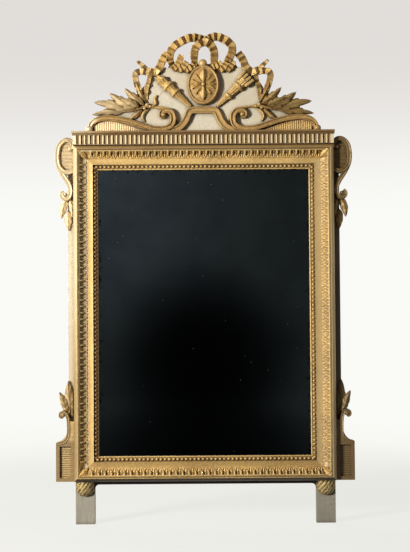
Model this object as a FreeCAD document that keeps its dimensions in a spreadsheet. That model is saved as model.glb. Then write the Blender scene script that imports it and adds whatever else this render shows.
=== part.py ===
import FreeCAD, Part
import math
import os
from types import SimpleNamespace

import Sketcher
from FreeCAD import Placement, Rotation, Vector

# Driving sizes in millimetres. "Ahead" means towards the front, measured from the wall plane.
SIZES = {
    # sight opening and the mitred moulding around it, from the outer edge inwards
    "sight_width": 509,
    "sight_height": 689,
    "edge_width": 9,
    "fillet_width": 4,
    "leaf_width": 19,
    "flat_width": 15,
    "slip_width": 13,
    "moulding_depth": 34,
    "edge_height": 22,
    "leaf_quirk": 3,
    "leaf_foot": 18,
    "flat_low": 16,
    "flat_height": 19,
    # beaded slip and glass
    "rebate_depth": 8,
    "slip_floor": 5,
    "bead_diameter": 8,
    "bead_pitch": 10.2,
    "bead_margin": 1,
    "bead_groove": 4.5,
    "lip_width": 3,
    "lip_rise": 3,
    "lip_chamfer": 1,
    "glass_overlap": 8,
    "glass_thickness": 4,
    "block_leg": 12,
    "block_nose": 2,
    "block_length": 40,
    # back frame
    "back_thickness": 24,
    "back_margin": 14.5,
    "stile_width": 62,
    "foot_height": 104,
    "rail_drop": 9,
    "stile_step": 28,
    "foot_width": 46,
    "bracket_radius": 12,
    "tenon_length": 40,
    "tenon_thickness": 8,
    "tenon_setback": 12,
    "tenon_shoulder": 8,
    "peg_radius": 4,
    "fit_gap": 0.15,
    "overrun": 5,
    # backboards and nails
    "board_thickness": 8,
    "board_recess": 2,
    "board_lap": 10,
    "board_gap": 1.5,
    "nail_radius": 1.2,
    "nail_head_radius": 3.5,
    "nail_head_height": 1.2,
    "nail_length": 20,
    "nail_edge": 30,
    # frieze and cornice
    "frieze_height": 24,
    "frieze_depth": 30,
    "flute_pitch": 11,
    "flute_width": 7.6,
    "flute_depth": 3.4,
    "flute_margin": 1.4,
    "cornice_height": 8,
    "cornice_depth": 42,
    "cornice_throat": 8,
    "cornice_fillet": 4.5,
    "cornice_overhang": 1.5,
    # pediment board and what holds it up
    "crest_width": 560,
    "crest_rise": 241,
    "crest_setback": 12,
    "crest_thickness": 18,
    "batten_width": 28,
    "batten_offset": 112,
    "batten_reach": 105,
    "backing_width": 176,
    "backing_foot": 105,
    "backing_head": 170,
    "backing_corner": 8,
    "backing_corner_drop": 13,
    "screw_radius": 2,
    "screw_head_radius": 4,
    "screw_head_height": 2.5,
    "screw_length": 20,
    "strap_screw_length": 13,
    # carving on the pediment
    "scroll_width": 12,
    "scroll_depth": 16,
    "scroll_eye_radius": 8,
    "scroll_end_radius": 6.5,
    "panel_depth": 5,
    "reed_pitch": 5.3,
    "reed_depth": 1.2,
    "arch_height": 59,
    "arch_top_width": 84,
    "arch_base_width": 150,
    "arch_bar": 12.5,
    "arch_leg": 13,
    "arch_depth": 12,
    "medallion_width": 76,
    "medallion_height": 97,
    "medallion_depth": 16,
    "medallion_rim": 4,
    "medallion_recess": 4,
    "rosette_depth": 5,
    "knob_radius": 10,
    "knob_neck_radius": 4,
    "torch_length": 108,
    "torch_radius": 12,
    "quiver_length": 108,
    "quiver_radius": 12.5,
    "ribbon_width": 17,
    "ribbon_depth": 15,
    "tail_width": 11,
    "tail_depth": 9,
    "sprig_width": 17,
    "sprig_depth": 9,
    "tendril_width": 5,
    "tendril_depth": 6,
    # ears and shoulders beside the moulding
    "ear_width": 44,
    "ear_height": 152,
    "ear_drop": 11,
    "ear_band": 9,
    "ear_depth": 20,
    "ear_panel_depth": 12,
    "ear_leaf_length": 74,
    "ear_leaf_width": 17,
    "ear_leaf_depth": 12,
    "shoulder_width": 44,
    "shoulder_height": 93,
    "shoulder_curve": 27,
    "shoulder_neck_width": 17,
    "shoulder_neck_height": 24,
    "shoulder_depth": 16,
    "shoulder_border": 8.6,
    "shoulder_recess": 7,
    "shoulder_leaf_height": 88,
    "shoulder_leaf_width": 17,
    # caps on the feet
    "cap_height": 37,
    # hanging iron let into the back of each stile
    "pocket_width": 36,
    "pocket_height": 84,
    "pocket_depth": 11,
    "hanger_drop": 125,
    "strap_width": 12,
    "strap_length": 20,
    "strap_thickness": 2,
    "knuckle_radius": 3.5,
    "ring_wire_radius": 2,
    "pin_gap": 0.05,
    "ring_width": 22,
    "ring_length": 34,
    "ring_corner": 4,
}


class Dim:
    """A length with its number and the sheet formula that gives it."""

    def __init__(self, number, formula):
        self.number = float(number)
        self.formula = formula

    def __float__(self):
        return self.number

    def __add__(self, other):
        other = dim(other)
        return Dim(self.number + other.number, f"({self.formula} + {other.formula})")

    def __radd__(self, other):
        return dim(other) + self

    def __sub__(self, other):
        other = dim(other)
        return Dim(self.number - other.number, f"({self.formula} - {other.formula})")

    def __rsub__(self, other):
        return dim(other) - self

    def __mul__(self, other):
        other = dim(other)
        return Dim(self.number * other.number, f"({self.formula} * {other.formula})")

    def __rmul__(self, other):
        return dim(other) * self

    def __truediv__(self, other):
        other = dim(other)
        return Dim(self.number / other.number, f"({self.formula} / {other.formula})")

    def __neg__(self):
        return dim(0) - self

    def whole(self):
        return Dim(math.floor(self.number), f"floor({self.formula})")


def dim(value):
    return value if isinstance(value, Dim) else Dim(value, repr(float(value)))


doc = FreeCAD.newDocument("PedimentMirror")
sheet = doc.addObject("Spreadsheet::Sheet", "sizes")
for row, (alias, number) in enumerate(SIZES.items(), start=1):
    sheet.set(f"A{row}", alias)
    sheet.set(f"B{row}", str(number))
    sheet.setAlias(f"B{row}", alias)
doc.recompute()
size = SimpleNamespace(**{alias: Dim(sheet.get(alias), f"sizes.{alias}") for alias in SIZES})

SIDES = {"left": -1, "right": 1}
nodes = {}

# Levels and lines that several pieces share.
moulding_width = size.edge_width + size.fillet_width + size.leaf_width + size.flat_width + size.slip_width
solid_width = moulding_width - size.slip_width
sight_half = size.sight_width / 2
outer_half = sight_half + moulding_width
outer_height = size.sight_height + 2 * moulding_width
moulding_low = size.foot_height
moulding_high = moulding_low + outer_height
frieze_high = moulding_high + size.frieze_height
crest_level = frieze_high + size.cornice_height
stile_out = outer_half + size.back_margin
stile_in = stile_out - size.stile_width
foot_out = stile_in + size.foot_width
rail_low = moulding_low - size.rail_drop
bottom_opening = rail_low + size.stile_width
top_opening = moulding_high + size.back_margin - size.stile_width
board_depth = size.board_thickness + size.board_recess
front_of_frame = size.back_thickness
crest_front = size.crest_setback + size.crest_thickness
crest_half = size.crest_width / 2
wall = (size.back_thickness + size.cornice_depth) / 2
hanger_level = crest_level - size.hanger_drop
hanger_across = (stile_in + size.board_lap + stile_out) / 2


def place_y(ahead):
    return float(wall) - float(ahead)


def add_node(label, obj):
    obj.Label = label
    nodes[label] = obj
    return obj


def new_body(label):
    return add_node(label, doc.addObject("PartDesign::Body", label))


def bind(obj, path, value):
    obj.setExpression(path, dim(value).formula)


def bind_place(obj, across, ahead, up):
    bind(obj, ".Placement.Base.x", across)
    bind(obj, ".Placement.Base.y", wall - ahead)
    bind(obj, ".Placement.Base.z", up)


def origin_feature(body, role):
    return next(item for item in body.Origin.OriginFeatures if item.Role == role)


def sketch_on(body, name, plane, offset):
    sketch = body.newObject("Sketcher::SketchObject", name)
    sketch.AttachmentSupport = [(origin_feature(body, plane), "")]
    sketch.MapMode = "FlatFace"
    bind(sketch, "AttachmentOffset.Base.z", offset)
    return sketch


def pin(sketch, edge, end, across, up):
    """Pins one end of an edge to its named place."""
    for kind, axis, value in (("DistanceX", -2, dim(across)), ("DistanceY", -1, dim(up))):
        if value.number == 0:
            sketch.addConstraint(Sketcher.Constraint("PointOnObject", edge, end, axis))
        else:
            item = sketch.addConstraint(Sketcher.Constraint(kind, -1, 1, edge, end, value.number))
            sketch.setExpression(f"Constraints[{item}]", value.formula)


def draw_outline(sketch, corners):
    """Draws a closed outline. A corner is (across, up), or (across, up, radius, turn) where the edge
    after it is an arc whose centre lies left of the way (turn 1) or right of it (turn -1)."""
    points = [Vector(float(corner[0]), float(corner[1]), 0) for corner in corners]
    starts = []
    ends = []
    first = sketch.GeometryCount
    for index, corner in enumerate(corners):
        here = points[index]
        there = points[(index + 1) % len(points)]
        if len(corner) == 2:
            sketch.addGeometry(Part.LineSegment(here, there), False)
            starts.append(1)
            ends.append(2)
            continue
        radius, turn = dim(corner[2]), corner[3]
        chord = there - here
        middle = (here + there) * 0.5
        left = Vector(-chord.y, chord.x, 0).normalize()
        rise = math.sqrt(radius.number**2 - (chord.Length / 2) ** 2)
        centre = middle + left * (turn * rise)
        begin, finish = (here, there) if turn > 0 else (there, here)
        angles = [math.atan2(point.y - centre.y, point.x - centre.x) for point in (begin, finish)]
        circle = Part.Circle(centre, Vector(0, 0, 1), radius.number)
        edge = sketch.addGeometry(Part.ArcOfCircle(circle, angles[0], angles[1]), False)
        item = sketch.addConstraint(Sketcher.Constraint("Radius", edge, radius.number))
        sketch.setExpression(f"Constraints[{item}]", radius.formula)
        starts.append(1 if turn > 0 else 2)
        ends.append(2 if turn > 0 else 1)
    for index, corner in enumerate(corners):
        previous = (index - 1) % len(corners)
        joint = ("Coincident", first + previous, ends[previous], first + index, starts[index])
        sketch.addConstraint(Sketcher.Constraint(*joint))
        pin(sketch, first + index, starts[index], corner[0], corner[1])


def draw_circle(sketch, across, up, radius):
    centre = Vector(float(across), float(up), 0)
    edge = sketch.addGeometry(Part.Circle(centre, Vector(0, 0, 1), float(radius)), False)
    pin(sketch, edge, 3, across, up)
    item = sketch.addConstraint(Sketcher.Constraint("Radius", edge, float(radius)))
    sketch.setExpression(f"Constraints[{item}]", dim(radius).formula)


def rectangle(low_across, low_up, high_across, high_up):
    return [(low_across, low_up), (high_across, low_up), (high_across, high_up), (low_across, high_up)]


def mirrored(outline, side):
    """Puts an outline drawn for the right side on the given side."""
    if side > 0:
        return outline
    turned = []
    for index in reversed(range(len(outline))):
        corner = outline[index]
        turned.append((-dim(corner[0]), corner[1]) + tuple(outline[index - 1][2:]))
    return turned


def pad(body, name, outlines, ahead, depth):
    """Adds a plate drawn from the front, from one plane ahead of the wall to another."""
    sketch = sketch_on(body, f"{name}Sketch", "XZ_Plane", ahead - wall)
    for outline in outlines:
        draw_outline(sketch, outline)
    feature = body.newObject("PartDesign::Pad", name)
    feature.Profile = sketch
    bind(feature, "Length", depth)
    return feature


def cut(body, name, outlines, ahead, depth, circles=()):
    """Cuts a recess drawn from the front, from a plane ahead of the wall forwards."""
    sketch = sketch_on(body, f"{name}Sketch", "XZ_Plane", ahead - wall)
    for outline in outlines:
        draw_outline(sketch, outline)
    for circle in circles:
        draw_circle(sketch, *circle)
    feature = body.newObject("PartDesign::Pocket", name)
    feature.Profile = sketch
    feature.Reversed = True
    bind(feature, "Length", depth)
    return feature


def extrude_section(body, name, section, length):
    """Runs a section, given as (ahead, up) corners, along the body's X axis about its middle."""
    sketch = sketch_on(body, f"{name}Sketch", "YZ_Plane", -length / 2)
    draw_outline(sketch, [(wall - corner[0],) + tuple(corner[1:]) for corner in section])
    feature = body.newObject("PartDesign::Pad", name)
    feature.Profile = sketch
    bind(feature, "Length", length)
    return feature


def pattern_along(body, original, role, spacing, count):
    feature = body.newObject("PartDesign::LinearPattern", f"{original.Name}Row")
    feature.Originals = [original]
    feature.Direction = (origin_feature(body, role), [""])
    bind(feature, "Length", spacing * (count - 1))
    bind(feature, "Occurrences", count)
    body.Tip = feature
    return feature


def part_feature(label, shape):
    """Holds a carved shape that is worked out from the sheet's values."""
    if len(shape.Solids) == 1:
        shape = shape.Solids[0]
    feature = add_node(label, doc.addObject("Part::Feature", label))
    feature.Shape = shape
    feature.Placement = Placement()
    return feature


# Back frame: pegged stiles and rails.
pocket_low = hanger_level - size.pocket_height / 2
rail_tenons = {"bottom": (rail_low, bottom_opening), "top": (top_opening, crest_level)}
rebate_low = bottom_opening - size.board_lap
rebate_high = top_opening + size.board_lap
batten_drop = crest_level - rebate_high - size.board_gap
peg_across = stile_in + size.tenon_length / 2
peg_shares = (1 / 3, 2 / 3)
peg_levels = [low + (high - low) * share for low, high in rail_tenons.values() for share in peg_shares]
plank_height = (rebate_high - rebate_low - 2 * size.board_gap) / 3
plank_lows = [rebate_low + (plank_height + size.board_gap) * index for index in range(3)]
nail_levels = [low + edge for low in plank_lows for edge in (size.nail_edge, plank_height - size.nail_edge)]
nail_across = stile_in + size.board_lap / 2
screw_hole = size.screw_radius + size.fit_gap
strap_low = hanger_level - size.strap_length
strap_screw_shares = (0.25, 0.625)
strap_screw_levels = [strap_low + size.strap_length * share for share in strap_screw_shares]


def make_stile(name, side):
    body = new_body(f"stile_{name}")
    outline = [
        (stile_in, 0),
        (foot_out, 0),
        (foot_out, moulding_low),
        (stile_out, moulding_low),
        (stile_out, crest_level - size.stile_step),
        (outer_half, crest_level - size.stile_step),
        (outer_half, crest_level),
        (stile_in, crest_level),
    ]
    pad(body, f"StileBoard{name}", [mirrored(outline, side)], dim(0), size.back_thickness)
    lap = rectangle(stile_in, rebate_low, stile_in + size.board_lap, rebate_high)
    cut(body, f"StileRebate{name}", [mirrored(lap, side)], dim(0), board_depth)
    mortises = []
    for low, high in rail_tenons.values():
        deep = stile_in + size.tenon_length + size.fit_gap
        hole = rectangle(stile_in, low + size.tenon_shoulder, deep, high - size.tenon_shoulder)
        mortises.append(mirrored(hole, side))
    cut(body, f"StileMortises{name}", mortises, size.tenon_setback, size.tenon_thickness)
    holes = [(side * peg_across, level, size.peg_radius + size.fit_gap) for level in peg_levels]
    cut(body, f"StilePegHoles{name}", [], dim(0), size.back_thickness, holes)
    reach = size.pocket_width / 2
    pocket_high = pocket_low + size.pocket_height
    pocket = rectangle(hanger_across - reach, pocket_low, hanger_across + reach, pocket_high)
    cut(body, f"StilePocket{name}", [mirrored(pocket, side)], dim(0), size.pocket_depth)
    holes = [(side * hanger_across, level, screw_hole) for level in strap_screw_levels]
    cut(body, f"StileScrewHoles{name}", [], size.pocket_depth, size.back_thickness - size.pocket_depth, holes)
    holes = [(side * nail_across, level, size.nail_radius + size.fit_gap) for level in nail_levels]
    cut(body, f"StileNailHoles{name}", [], board_depth, size.nail_length - size.board_thickness, holes)


def add_tenons(body, name, low, high):
    reach = stile_in + size.tenon_length
    shoulder = size.tenon_shoulder + size.fit_gap
    tongue = rectangle(-reach, low + shoulder, reach, high - shoulder)
    depth = size.tenon_thickness - 2 * size.fit_gap
    pad(body, f"{name}Tenons", [tongue], size.tenon_setback + size.fit_gap, depth)
    holes = []
    for level in peg_levels:
        if low.number < level.number < high.number:
            holes += [(side * peg_across, level, size.peg_radius + size.fit_gap) for side in SIDES.values()]
    cut(body, f"{name}PegHoles", [], size.tenon_setback, size.tenon_thickness, holes)


def make_bottom_rail():
    body = new_body("bottom_rail")
    radius = size.bracket_radius
    outline = [
        (-stile_in, rail_low - radius, radius, -1),
        (radius - stile_in, rail_low),
        (stile_in - radius, rail_low, radius, -1),
        (stile_in, rail_low - radius),
        (stile_in, bottom_opening),
        (-stile_in, bottom_opening),
    ]
    pad(body, "BottomRailBoard", [outline], dim(0), size.back_thickness)
    lap = rectangle(-stile_in, rebate_low, stile_in, bottom_opening)
    cut(body, "BottomRailRebate", [lap], dim(0), board_depth)
    add_tenons(body, "BottomRail", rail_low, bottom_opening)


def make_top_rail():
    body = new_body("top_rail")
    outline = rectangle(-stile_in, top_opening, stile_in, crest_level)
    pad(body, "TopRailBoard", [outline], dim(0), size.back_thickness)
    lap = rectangle(-stile_in, top_opening, stile_in, rebate_high)
    cut(body, "TopRailRebate", [lap], dim(0), board_depth)
    add_tenons(body, "TopRail", top_opening, crest_level)
    dados = []
    half = size.batten_width / 2 + size.fit_gap
    for side in SIDES.values():
        middle = side * size.batten_offset
        dados.append(rectangle(middle - half, rebate_high, middle + half, crest_level))
    cut(body, "TopRailDados", dados, dim(0), size.crest_setback)
    holes = [(across, level, screw_hole) for across, level in batten_screws(rail_screw_shares, -batten_drop)]
    cut(body, "TopRailScrewHoles", [], size.crest_setback, size.screw_length - size.crest_setback, holes)


rail_screw_shares = (0.3, 0.75)
crest_screw_shares = (0.3, 0.8)


def batten_screws(shares, reach):
    places = []
    for side in SIDES.values():
        for share in shares:
            places.append((side * size.batten_offset, crest_level + reach * share))
    return places


def make_pegs():
    pegs = []
    for side in SIDES.values():
        for level in peg_levels:
            peg = doc.addObject("Part::Cylinder", "Peg")
            bind(peg, "Radius", size.peg_radius)
            bind(peg, "Height", size.back_thickness)
            peg.Placement = Placement(Vector(), Rotation(Vector(1, 0, 0), 90))
            bind_place(peg, side * peg_across, dim(0), level)
            pegs.append(peg)
    group = add_node("joint_pegs", doc.addObject("Part::Compound", "joint_pegs"))
    group.Links = pegs


# Sight moulding in mitred lengths: the body's Z runs from the outer edge inwards.
cove_radius_share = 1.07
hollow_radius_share = 3
edge_radius_share = 1.9
frame_sides = {
    "bottom": (2 * outer_half, 0, 0, moulding_low),
    "right": (outer_height, -90, outer_half, moulding_low + outer_height / 2),
    "top": (2 * outer_half, 180, 0, moulding_high),
    "left": (outer_height, 90, -outer_half, moulding_low + outer_height / 2),
}


def set_on_frame(body, name):
    turn, across, up = frame_sides[name][1:]
    body.Placement = Placement(Vector(), Rotation(Vector(0, 1, 0), turn))
    bind(body, ".Placement.Base.x", across)
    bind(body, ".Placement.Base.z", up)


def mitre(body, name, length, width):
    """Cuts both ends of a run to 45 degrees, from the full length at the outer edge."""
    over = size.overrun
    end = length / 2
    corner = [(end, 0), (end + over, 0), (end + over, width + over), (end - width - over, width + over)]
    reach = size.back_thickness + size.moulding_depth
    cut(body, f"{name}Mitres", [corner, mirrored(corner, -1)], dim(0), reach)


def make_moulding(name):
    length = frame_sides[name][0]
    body = new_body(f"moulding_{name}")
    back = front_of_frame
    leaf_start = size.edge_width + size.fillet_width
    flat_start = leaf_start + size.leaf_width
    top = back + size.moulding_depth
    section = [
        (back, 0),
        (back + size.edge_height, 0, edge_radius_share * size.edge_width, -1),
        (top, size.edge_width),
        (top, leaf_start),
        (top - size.leaf_quirk, leaf_start, cove_radius_share * size.leaf_width, 1),
        (back + size.leaf_foot, flat_start),
        (back + size.flat_low, flat_start, hollow_radius_share * size.flat_width, 1),
        (back + size.flat_height, solid_width),
        (back, solid_width),
    ]
    extrude_section(body, f"Moulding{name}", section, length)
    mitre(body, f"Moulding{name}", length, solid_width)
    set_on_frame(body, name)


astragal_radius_share = 0.52


def make_slip(name):
    outer_length = frame_sides[name][0]
    body = new_body(f"bead_slip_{name}")
    back = front_of_frame + size.rebate_depth
    floor = back + size.slip_floor
    lip = floor + size.lip_rise
    bead_low = solid_width + size.bead_margin
    bead_high = bead_low + size.bead_diameter
    lip_low = moulding_width - size.lip_width
    section = [
        (back, solid_width),
        (floor, solid_width),
        (floor, bead_low, astragal_radius_share * size.bead_diameter, -1),
        (floor, bead_high),
        (floor, lip_low),
        (lip, lip_low),
        (lip, moulding_width - size.lip_chamfer),
        (lip - size.lip_chamfer, moulding_width),
        (back, moulding_width),
    ]
    extrude_section(body, f"Slip{name}", section, outer_length - 2 * solid_width)
    count = ((outer_length - 2 * bead_high) / size.bead_pitch).whole()
    sketch = sketch_on(body, f"SlipGrooveSketch{name}", "XY_Plane", bead_low - size.bead_margin / 2)
    first = -(count - 1) * size.bead_pitch / 2
    half = size.bead_groove / 2
    crown = wall - (floor + size.bead_diameter)
    draw_outline(sketch, [(first, wall - floor), (first - half, crown), (first + half, crown)])
    groove = body.newObject("PartDesign::Pocket", f"SlipGroove{name}")
    groove.Profile = sketch
    groove.Reversed = True
    bind(groove, "Length", size.bead_diameter + size.bead_margin)
    pattern_along(body, groove, "X_Axis", size.bead_pitch, count)
    over = size.overrun
    end = outer_length / 2 - solid_width
    corner = [
        (end, solid_width),
        (end + over, solid_width),
        (end + over, moulding_width + over),
        (end - size.slip_width - over, moulding_width + over),
    ]
    ends = [corner, mirrored(corner, -1)]
    cut(body, f"SlipMitres{name}", ends, dim(0), size.back_thickness + size.moulding_depth)
    set_on_frame(body, name)


def make_glass():
    plate = add_node("mirror_plate", doc.addObject("Part::Box", "mirror_plate"))
    ahead = front_of_frame + size.rebate_depth
    half = sight_half + size.glass_overlap
    bind(plate, "Length", 2 * half)
    bind(plate, "Width", size.glass_thickness)
    bind(plate, "Height", size.sight_height + 2 * size.glass_overlap)
    bind_place(plate, -half, ahead, moulding_low + moulding_width - size.glass_overlap)


block_shares = (0.12, 0.5, 0.88)


def make_block(turn, across, up):
    """One softwood block glued in the corner between the glass and the back frame."""
    block = doc.addObject("Part::Wedge", "GlazingBlock")
    half = size.block_length / 2
    limits = {
        "Xmin": -half, "Xmax": half, "X2min": -half, "X2max": half,
        "Zmin": dim(0), "Zmax": size.block_leg, "Z2min": dim(0), "Z2max": size.block_nose,
        "Ymin": dim(0), "Ymax": size.block_leg,
    }
    for name, value in limits.items():
        bind(block, name, value)
    block.Placement = Placement(Vector(), Rotation(Vector(0, 1, 0), turn))
    ahead = front_of_frame + size.rebate_depth - size.glass_thickness
    bind_place(block, across, ahead, up)
    return block


def make_blocks():
    blocks = []
    for share in block_shares:
        up = bottom_opening + (top_opening - bottom_opening) * share
        blocks.append(make_block(90, -stile_in, up))
        blocks.append(make_block(-90, stile_in, up))
    for share in block_shares:
        across = -stile_in + 2 * stile_in * share
        blocks.append(make_block(0, across, bottom_opening))
        blocks.append(make_block(180, across, top_opening))
    group = add_node("glazing_blocks", doc.addObject("Part::Compound", "glazing_blocks"))
    group.Links = blocks


def make_backboards():
    half = stile_in + size.board_lap - size.fit_gap
    for name, low in zip(("lower", "middle", "upper"), plank_lows):
        body = new_body(f"backboard_{name}")
        outline = rectangle(-half, low + size.fit_gap, half, low + plank_height - size.fit_gap)
        pad(body, f"Backboard{name}", [outline], size.board_recess, size.board_thickness)
        holes = []
        for level in nail_levels:
            if low.number < level.number < low.number + plank_height.number:
                for side in SIDES.values():
                    holes.append((side * nail_across, level, size.nail_radius + size.fit_gap))
        cut(body, f"BackboardHoles{name}", [], size.board_recess, size.board_thickness, holes)


def turned_copies(profile, places):
    """Identical turned solids: a profile of (radius, ahead) corners, at (across, ahead, up) places."""
    corners = [Vector(float(radius), -float(ahead), 0) for radius, ahead in profile]
    face = Part.Face(Part.makePolygon(corners + corners[:1]))
    solid = face.revolve(Vector(), Vector(0, 1, 0), 360)
    copies = []
    for across, ahead, up in places:
        copies.append(solid.translated(Vector(float(across), place_y(ahead), float(up))))
    return Part.makeCompound(copies)


def make_nails():
    profile = [
        (0, -size.nail_head_height),
        (size.nail_head_radius, -size.nail_head_height),
        (size.nail_head_radius, 0),
        (size.nail_radius, 0),
        (size.nail_radius, size.nail_length - size.nail_radius),
        (0, size.nail_length - size.nail_radius / 2),
    ]
    places = []
    for side in SIDES.values():
        places += [(side * nail_across, size.board_recess, level) for level in nail_levels]
    part_feature("backboard_nails", turned_copies(profile, places))


# Frieze and cornice over the moulding.
def make_frieze():
    body = new_body("frieze")
    outline = rectangle(-outer_half, moulding_high, outer_half, frieze_high)
    pad(body, "FriezeBoard", [outline], front_of_frame, size.frieze_depth)
    count = ((2 * outer_half - 2 * size.flute_margin) / size.flute_pitch).whole()
    first = -(count - 1) * size.flute_pitch / 2
    radius = (size.flute_width * size.flute_width / 4 + size.flute_depth * size.flute_depth)
    radius = radius / (2 * size.flute_depth)
    face = front_of_frame + size.frieze_depth
    sketch = sketch_on(body, "FluteSketch", "XY_Plane", moulding_high + size.flute_margin)
    draw_circle(sketch, first, wall - (face + radius - size.flute_depth), radius)
    flute = body.newObject("PartDesign::Pocket", "Flute")
    flute.Profile = sketch
    flute.Reversed = True
    bind(flute, "Length", size.frieze_height - 2 * size.flute_margin)
    pattern_along(body, flute, "X_Axis", size.flute_pitch, count)


cornice_radius_share = 1.1


def make_cornice():
    body = new_body("cornice")
    back = front_of_frame
    front = back + size.cornice_depth
    section = [
        (back, frieze_high),
        (front - size.cornice_throat, frieze_high, cornice_radius_share * size.cornice_throat, 1),
        (front, crest_level - size.cornice_fillet),
        (front, crest_level),
        (back, crest_level),
    ]
    extrude_section(body, "CorniceRun", section, 2 * (outer_half + size.cornice_overhang))


# Pediment board, with its outline as shares of half the crest's width and of its rise.
board_base_share = 0.965
board_end_shares = (0.955, 0.095)
board_hump_shares = (0.865, 0.185)
board_shoulder_shares = (0.468, 0.56)
board_crown_shares = (0.40, 0.66)
board_middle_share = 0.65
board_hollow_radius_share = 0.62
board_shoulder_radius_share = 0.13
board_end_radius_share = 0.16


def on_crest(shares):
    return crest_half * shares[0], crest_level + size.crest_rise * shares[1]


def make_pediment_board():
    body = new_body("pediment_board")
    hump = on_crest(board_hump_shares)
    shoulder = on_crest(board_shoulder_shares)
    right = [
        (crest_half * board_base_share, crest_level),
        on_crest(board_end_shares) + (crest_half * board_end_radius_share, 1),
        hump + (crest_half * board_hollow_radius_share, -1),
        shoulder + (crest_half * board_shoulder_radius_share, 1),
        on_crest(board_crown_shares),
    ]
    middle = (dim(0), crest_level + size.crest_rise * board_middle_share)
    outline = right + [middle] + mirrored(right, -1)
    pad(body, "PedimentBoard", [outline], size.crest_setback, size.crest_thickness)
    holes = []
    for across, level in batten_screws(crest_screw_shares, size.batten_reach):
        holes.append((across, level, screw_hole))
    cut(body, "PedimentScrewHoles", [], size.crest_setback, size.screw_length - size.crest_setback, holes)


def make_bow_backing():
    body = new_body("bow_backing")
    half = size.backing_width / 2
    head = crest_level + size.backing_head
    right = [
        (half, crest_level + size.backing_foot),
        (half, head - size.backing_corner_drop),
        (half - size.backing_corner, head),
    ]
    outline = right + mirrored(right, -1)
    pad(body, "BowBacking", [outline], dim(0), size.crest_setback)


def screw_profile(length, head_height, gap):
    """A countersunk screw, or with a gap the room that it takes in the piece it passes through."""
    radius = size.screw_radius + gap
    return [
        (0, 0),
        (size.screw_head_radius + gap, 0),
        (radius, head_height + gap),
        (radius, length - size.screw_radius),
        (0, length - size.fit_gap),
    ]


def crest_screw_places():
    places = batten_screws(rail_screw_shares, -batten_drop)
    places += batten_screws(crest_screw_shares, size.batten_reach)
    return [(across, dim(0), up) for across, up in places]


def strap_screw_places(side):
    ahead = size.pocket_depth - size.strap_thickness
    return [(side * hanger_across, ahead, level) for level in strap_screw_levels]


def make_battens():
    cutter = doc.addObject("Part::Feature", "BattenScrewRoom")
    profile = screw_profile(size.screw_length, size.screw_head_height, size.fit_gap)
    cutter.Shape = turned_copies(profile, crest_screw_places())
    for name, side in SIDES.items():
        box = doc.addObject("Part::Box", f"Batten{name}")
        bind(box, "Length", size.batten_width)
        bind(box, "Width", size.crest_setback)
        bind(box, "Height", batten_drop + size.batten_reach)
        left = side * size.batten_offset - size.batten_width / 2
        bind_place(box, left, size.crest_setback, crest_level - batten_drop)
        batten = add_node(f"crest_batten_{name}", doc.addObject("Part::Cut", f"crest_batten_{name}"))
        batten.Base = box
        batten.Tool = cutter


# Carved work on the pediment.
def crest_point(shares, ahead, side=1):
    across, up = on_crest(shares)
    return Vector(side * float(across), place_y(ahead), float(up))


def arc_path(points):
    """A smooth plane path through points, as pairs of tangent arcs."""
    ways = []
    for index, point in enumerate(points):
        before = points[max(index - 1, 0)]
        after = points[min(index + 1, len(points) - 1)]
        if 0 < index < len(points) - 1:
            first, second = point - before, after - point
            way = first * (second.Length / first.Length) + second * (first.Length / second.Length)
        else:
            way = after - before
        ways.append(way.normalize())
    for end, near in ((0, 1), (len(points) - 1, len(points) - 2)):
        chord = (points[near] - points[end]).normalize()
        ways[end] = chord * (2 * chord.dot(ways[near])) - ways[near]
    edges = []
    for index in range(len(points) - 1):
        edges += tangent_arcs(points[index], ways[index], points[index + 1], ways[index + 1])
    return Part.Wire(edges), ways[0]


def tangent_arcs(start, way, end, end_way):
    """Two arcs from start to end that share a tangent where they meet."""
    chord = end - start
    total = way + end_way
    square = 2 * (1 - way.dot(end_way))
    reach = chord.dot(total)
    if square < 1e-6:
        length = chord.dot(chord) / (4 * chord.dot(end_way))
    else:
        length = (math.sqrt(reach**2 + square * chord.dot(chord)) - reach) / square
    meeting = (start + way * length + end - end_way * length) * 0.5
    return [arc_edge(start, way, meeting), arc_edge(end, -end_way, meeting)]


def arc_edge(start, way, end):
    chord = end - start
    across = chord - way * chord.dot(way)
    if across.Length < 1e-4 * chord.Length:
        return Part.LineSegment(start, end).toShape()
    across.normalize()
    radius = chord.dot(chord) / (2 * chord.dot(across))
    centre = start + across * radius
    middle = (start + end) * 0.5 - centre
    if chord.dot(way) < 0:
        middle = -middle
    return Part.Arc(start, centre + middle.normalize() * radius, end).toShape()


# Half section of a carved band: shares of its half width and of its depth.
band_shares = ((1, 0), (1, 0.55), (0.55, 1), (-0.55, 1), (-1, 0.55), (-1, 0))


def carved_band(points, width, depth):
    """A moulded band with a flat back that follows points on its back plane."""
    path, way = arc_path(points)
    front = Vector(0, -1, 0)
    across = way.cross(front).normalize() * (float(width) / 2)
    corners = []
    for side_share, depth_share in band_shares:
        corners.append(points[0] + across * side_share + front * (depth_share * float(depth)))
    shell = Part.BRepOffsetAPI.MakePipeShell(path)
    shell.setBiNormalMode(front)
    shell.add(Part.Wire(Part.makePolygon(corners + corners[:1])))
    shell.build()
    shell.makeSolid()
    return outward(shell.shape())


def outward(shape):
    return shape.reversed() if shape.Volume < 0 else shape


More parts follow.
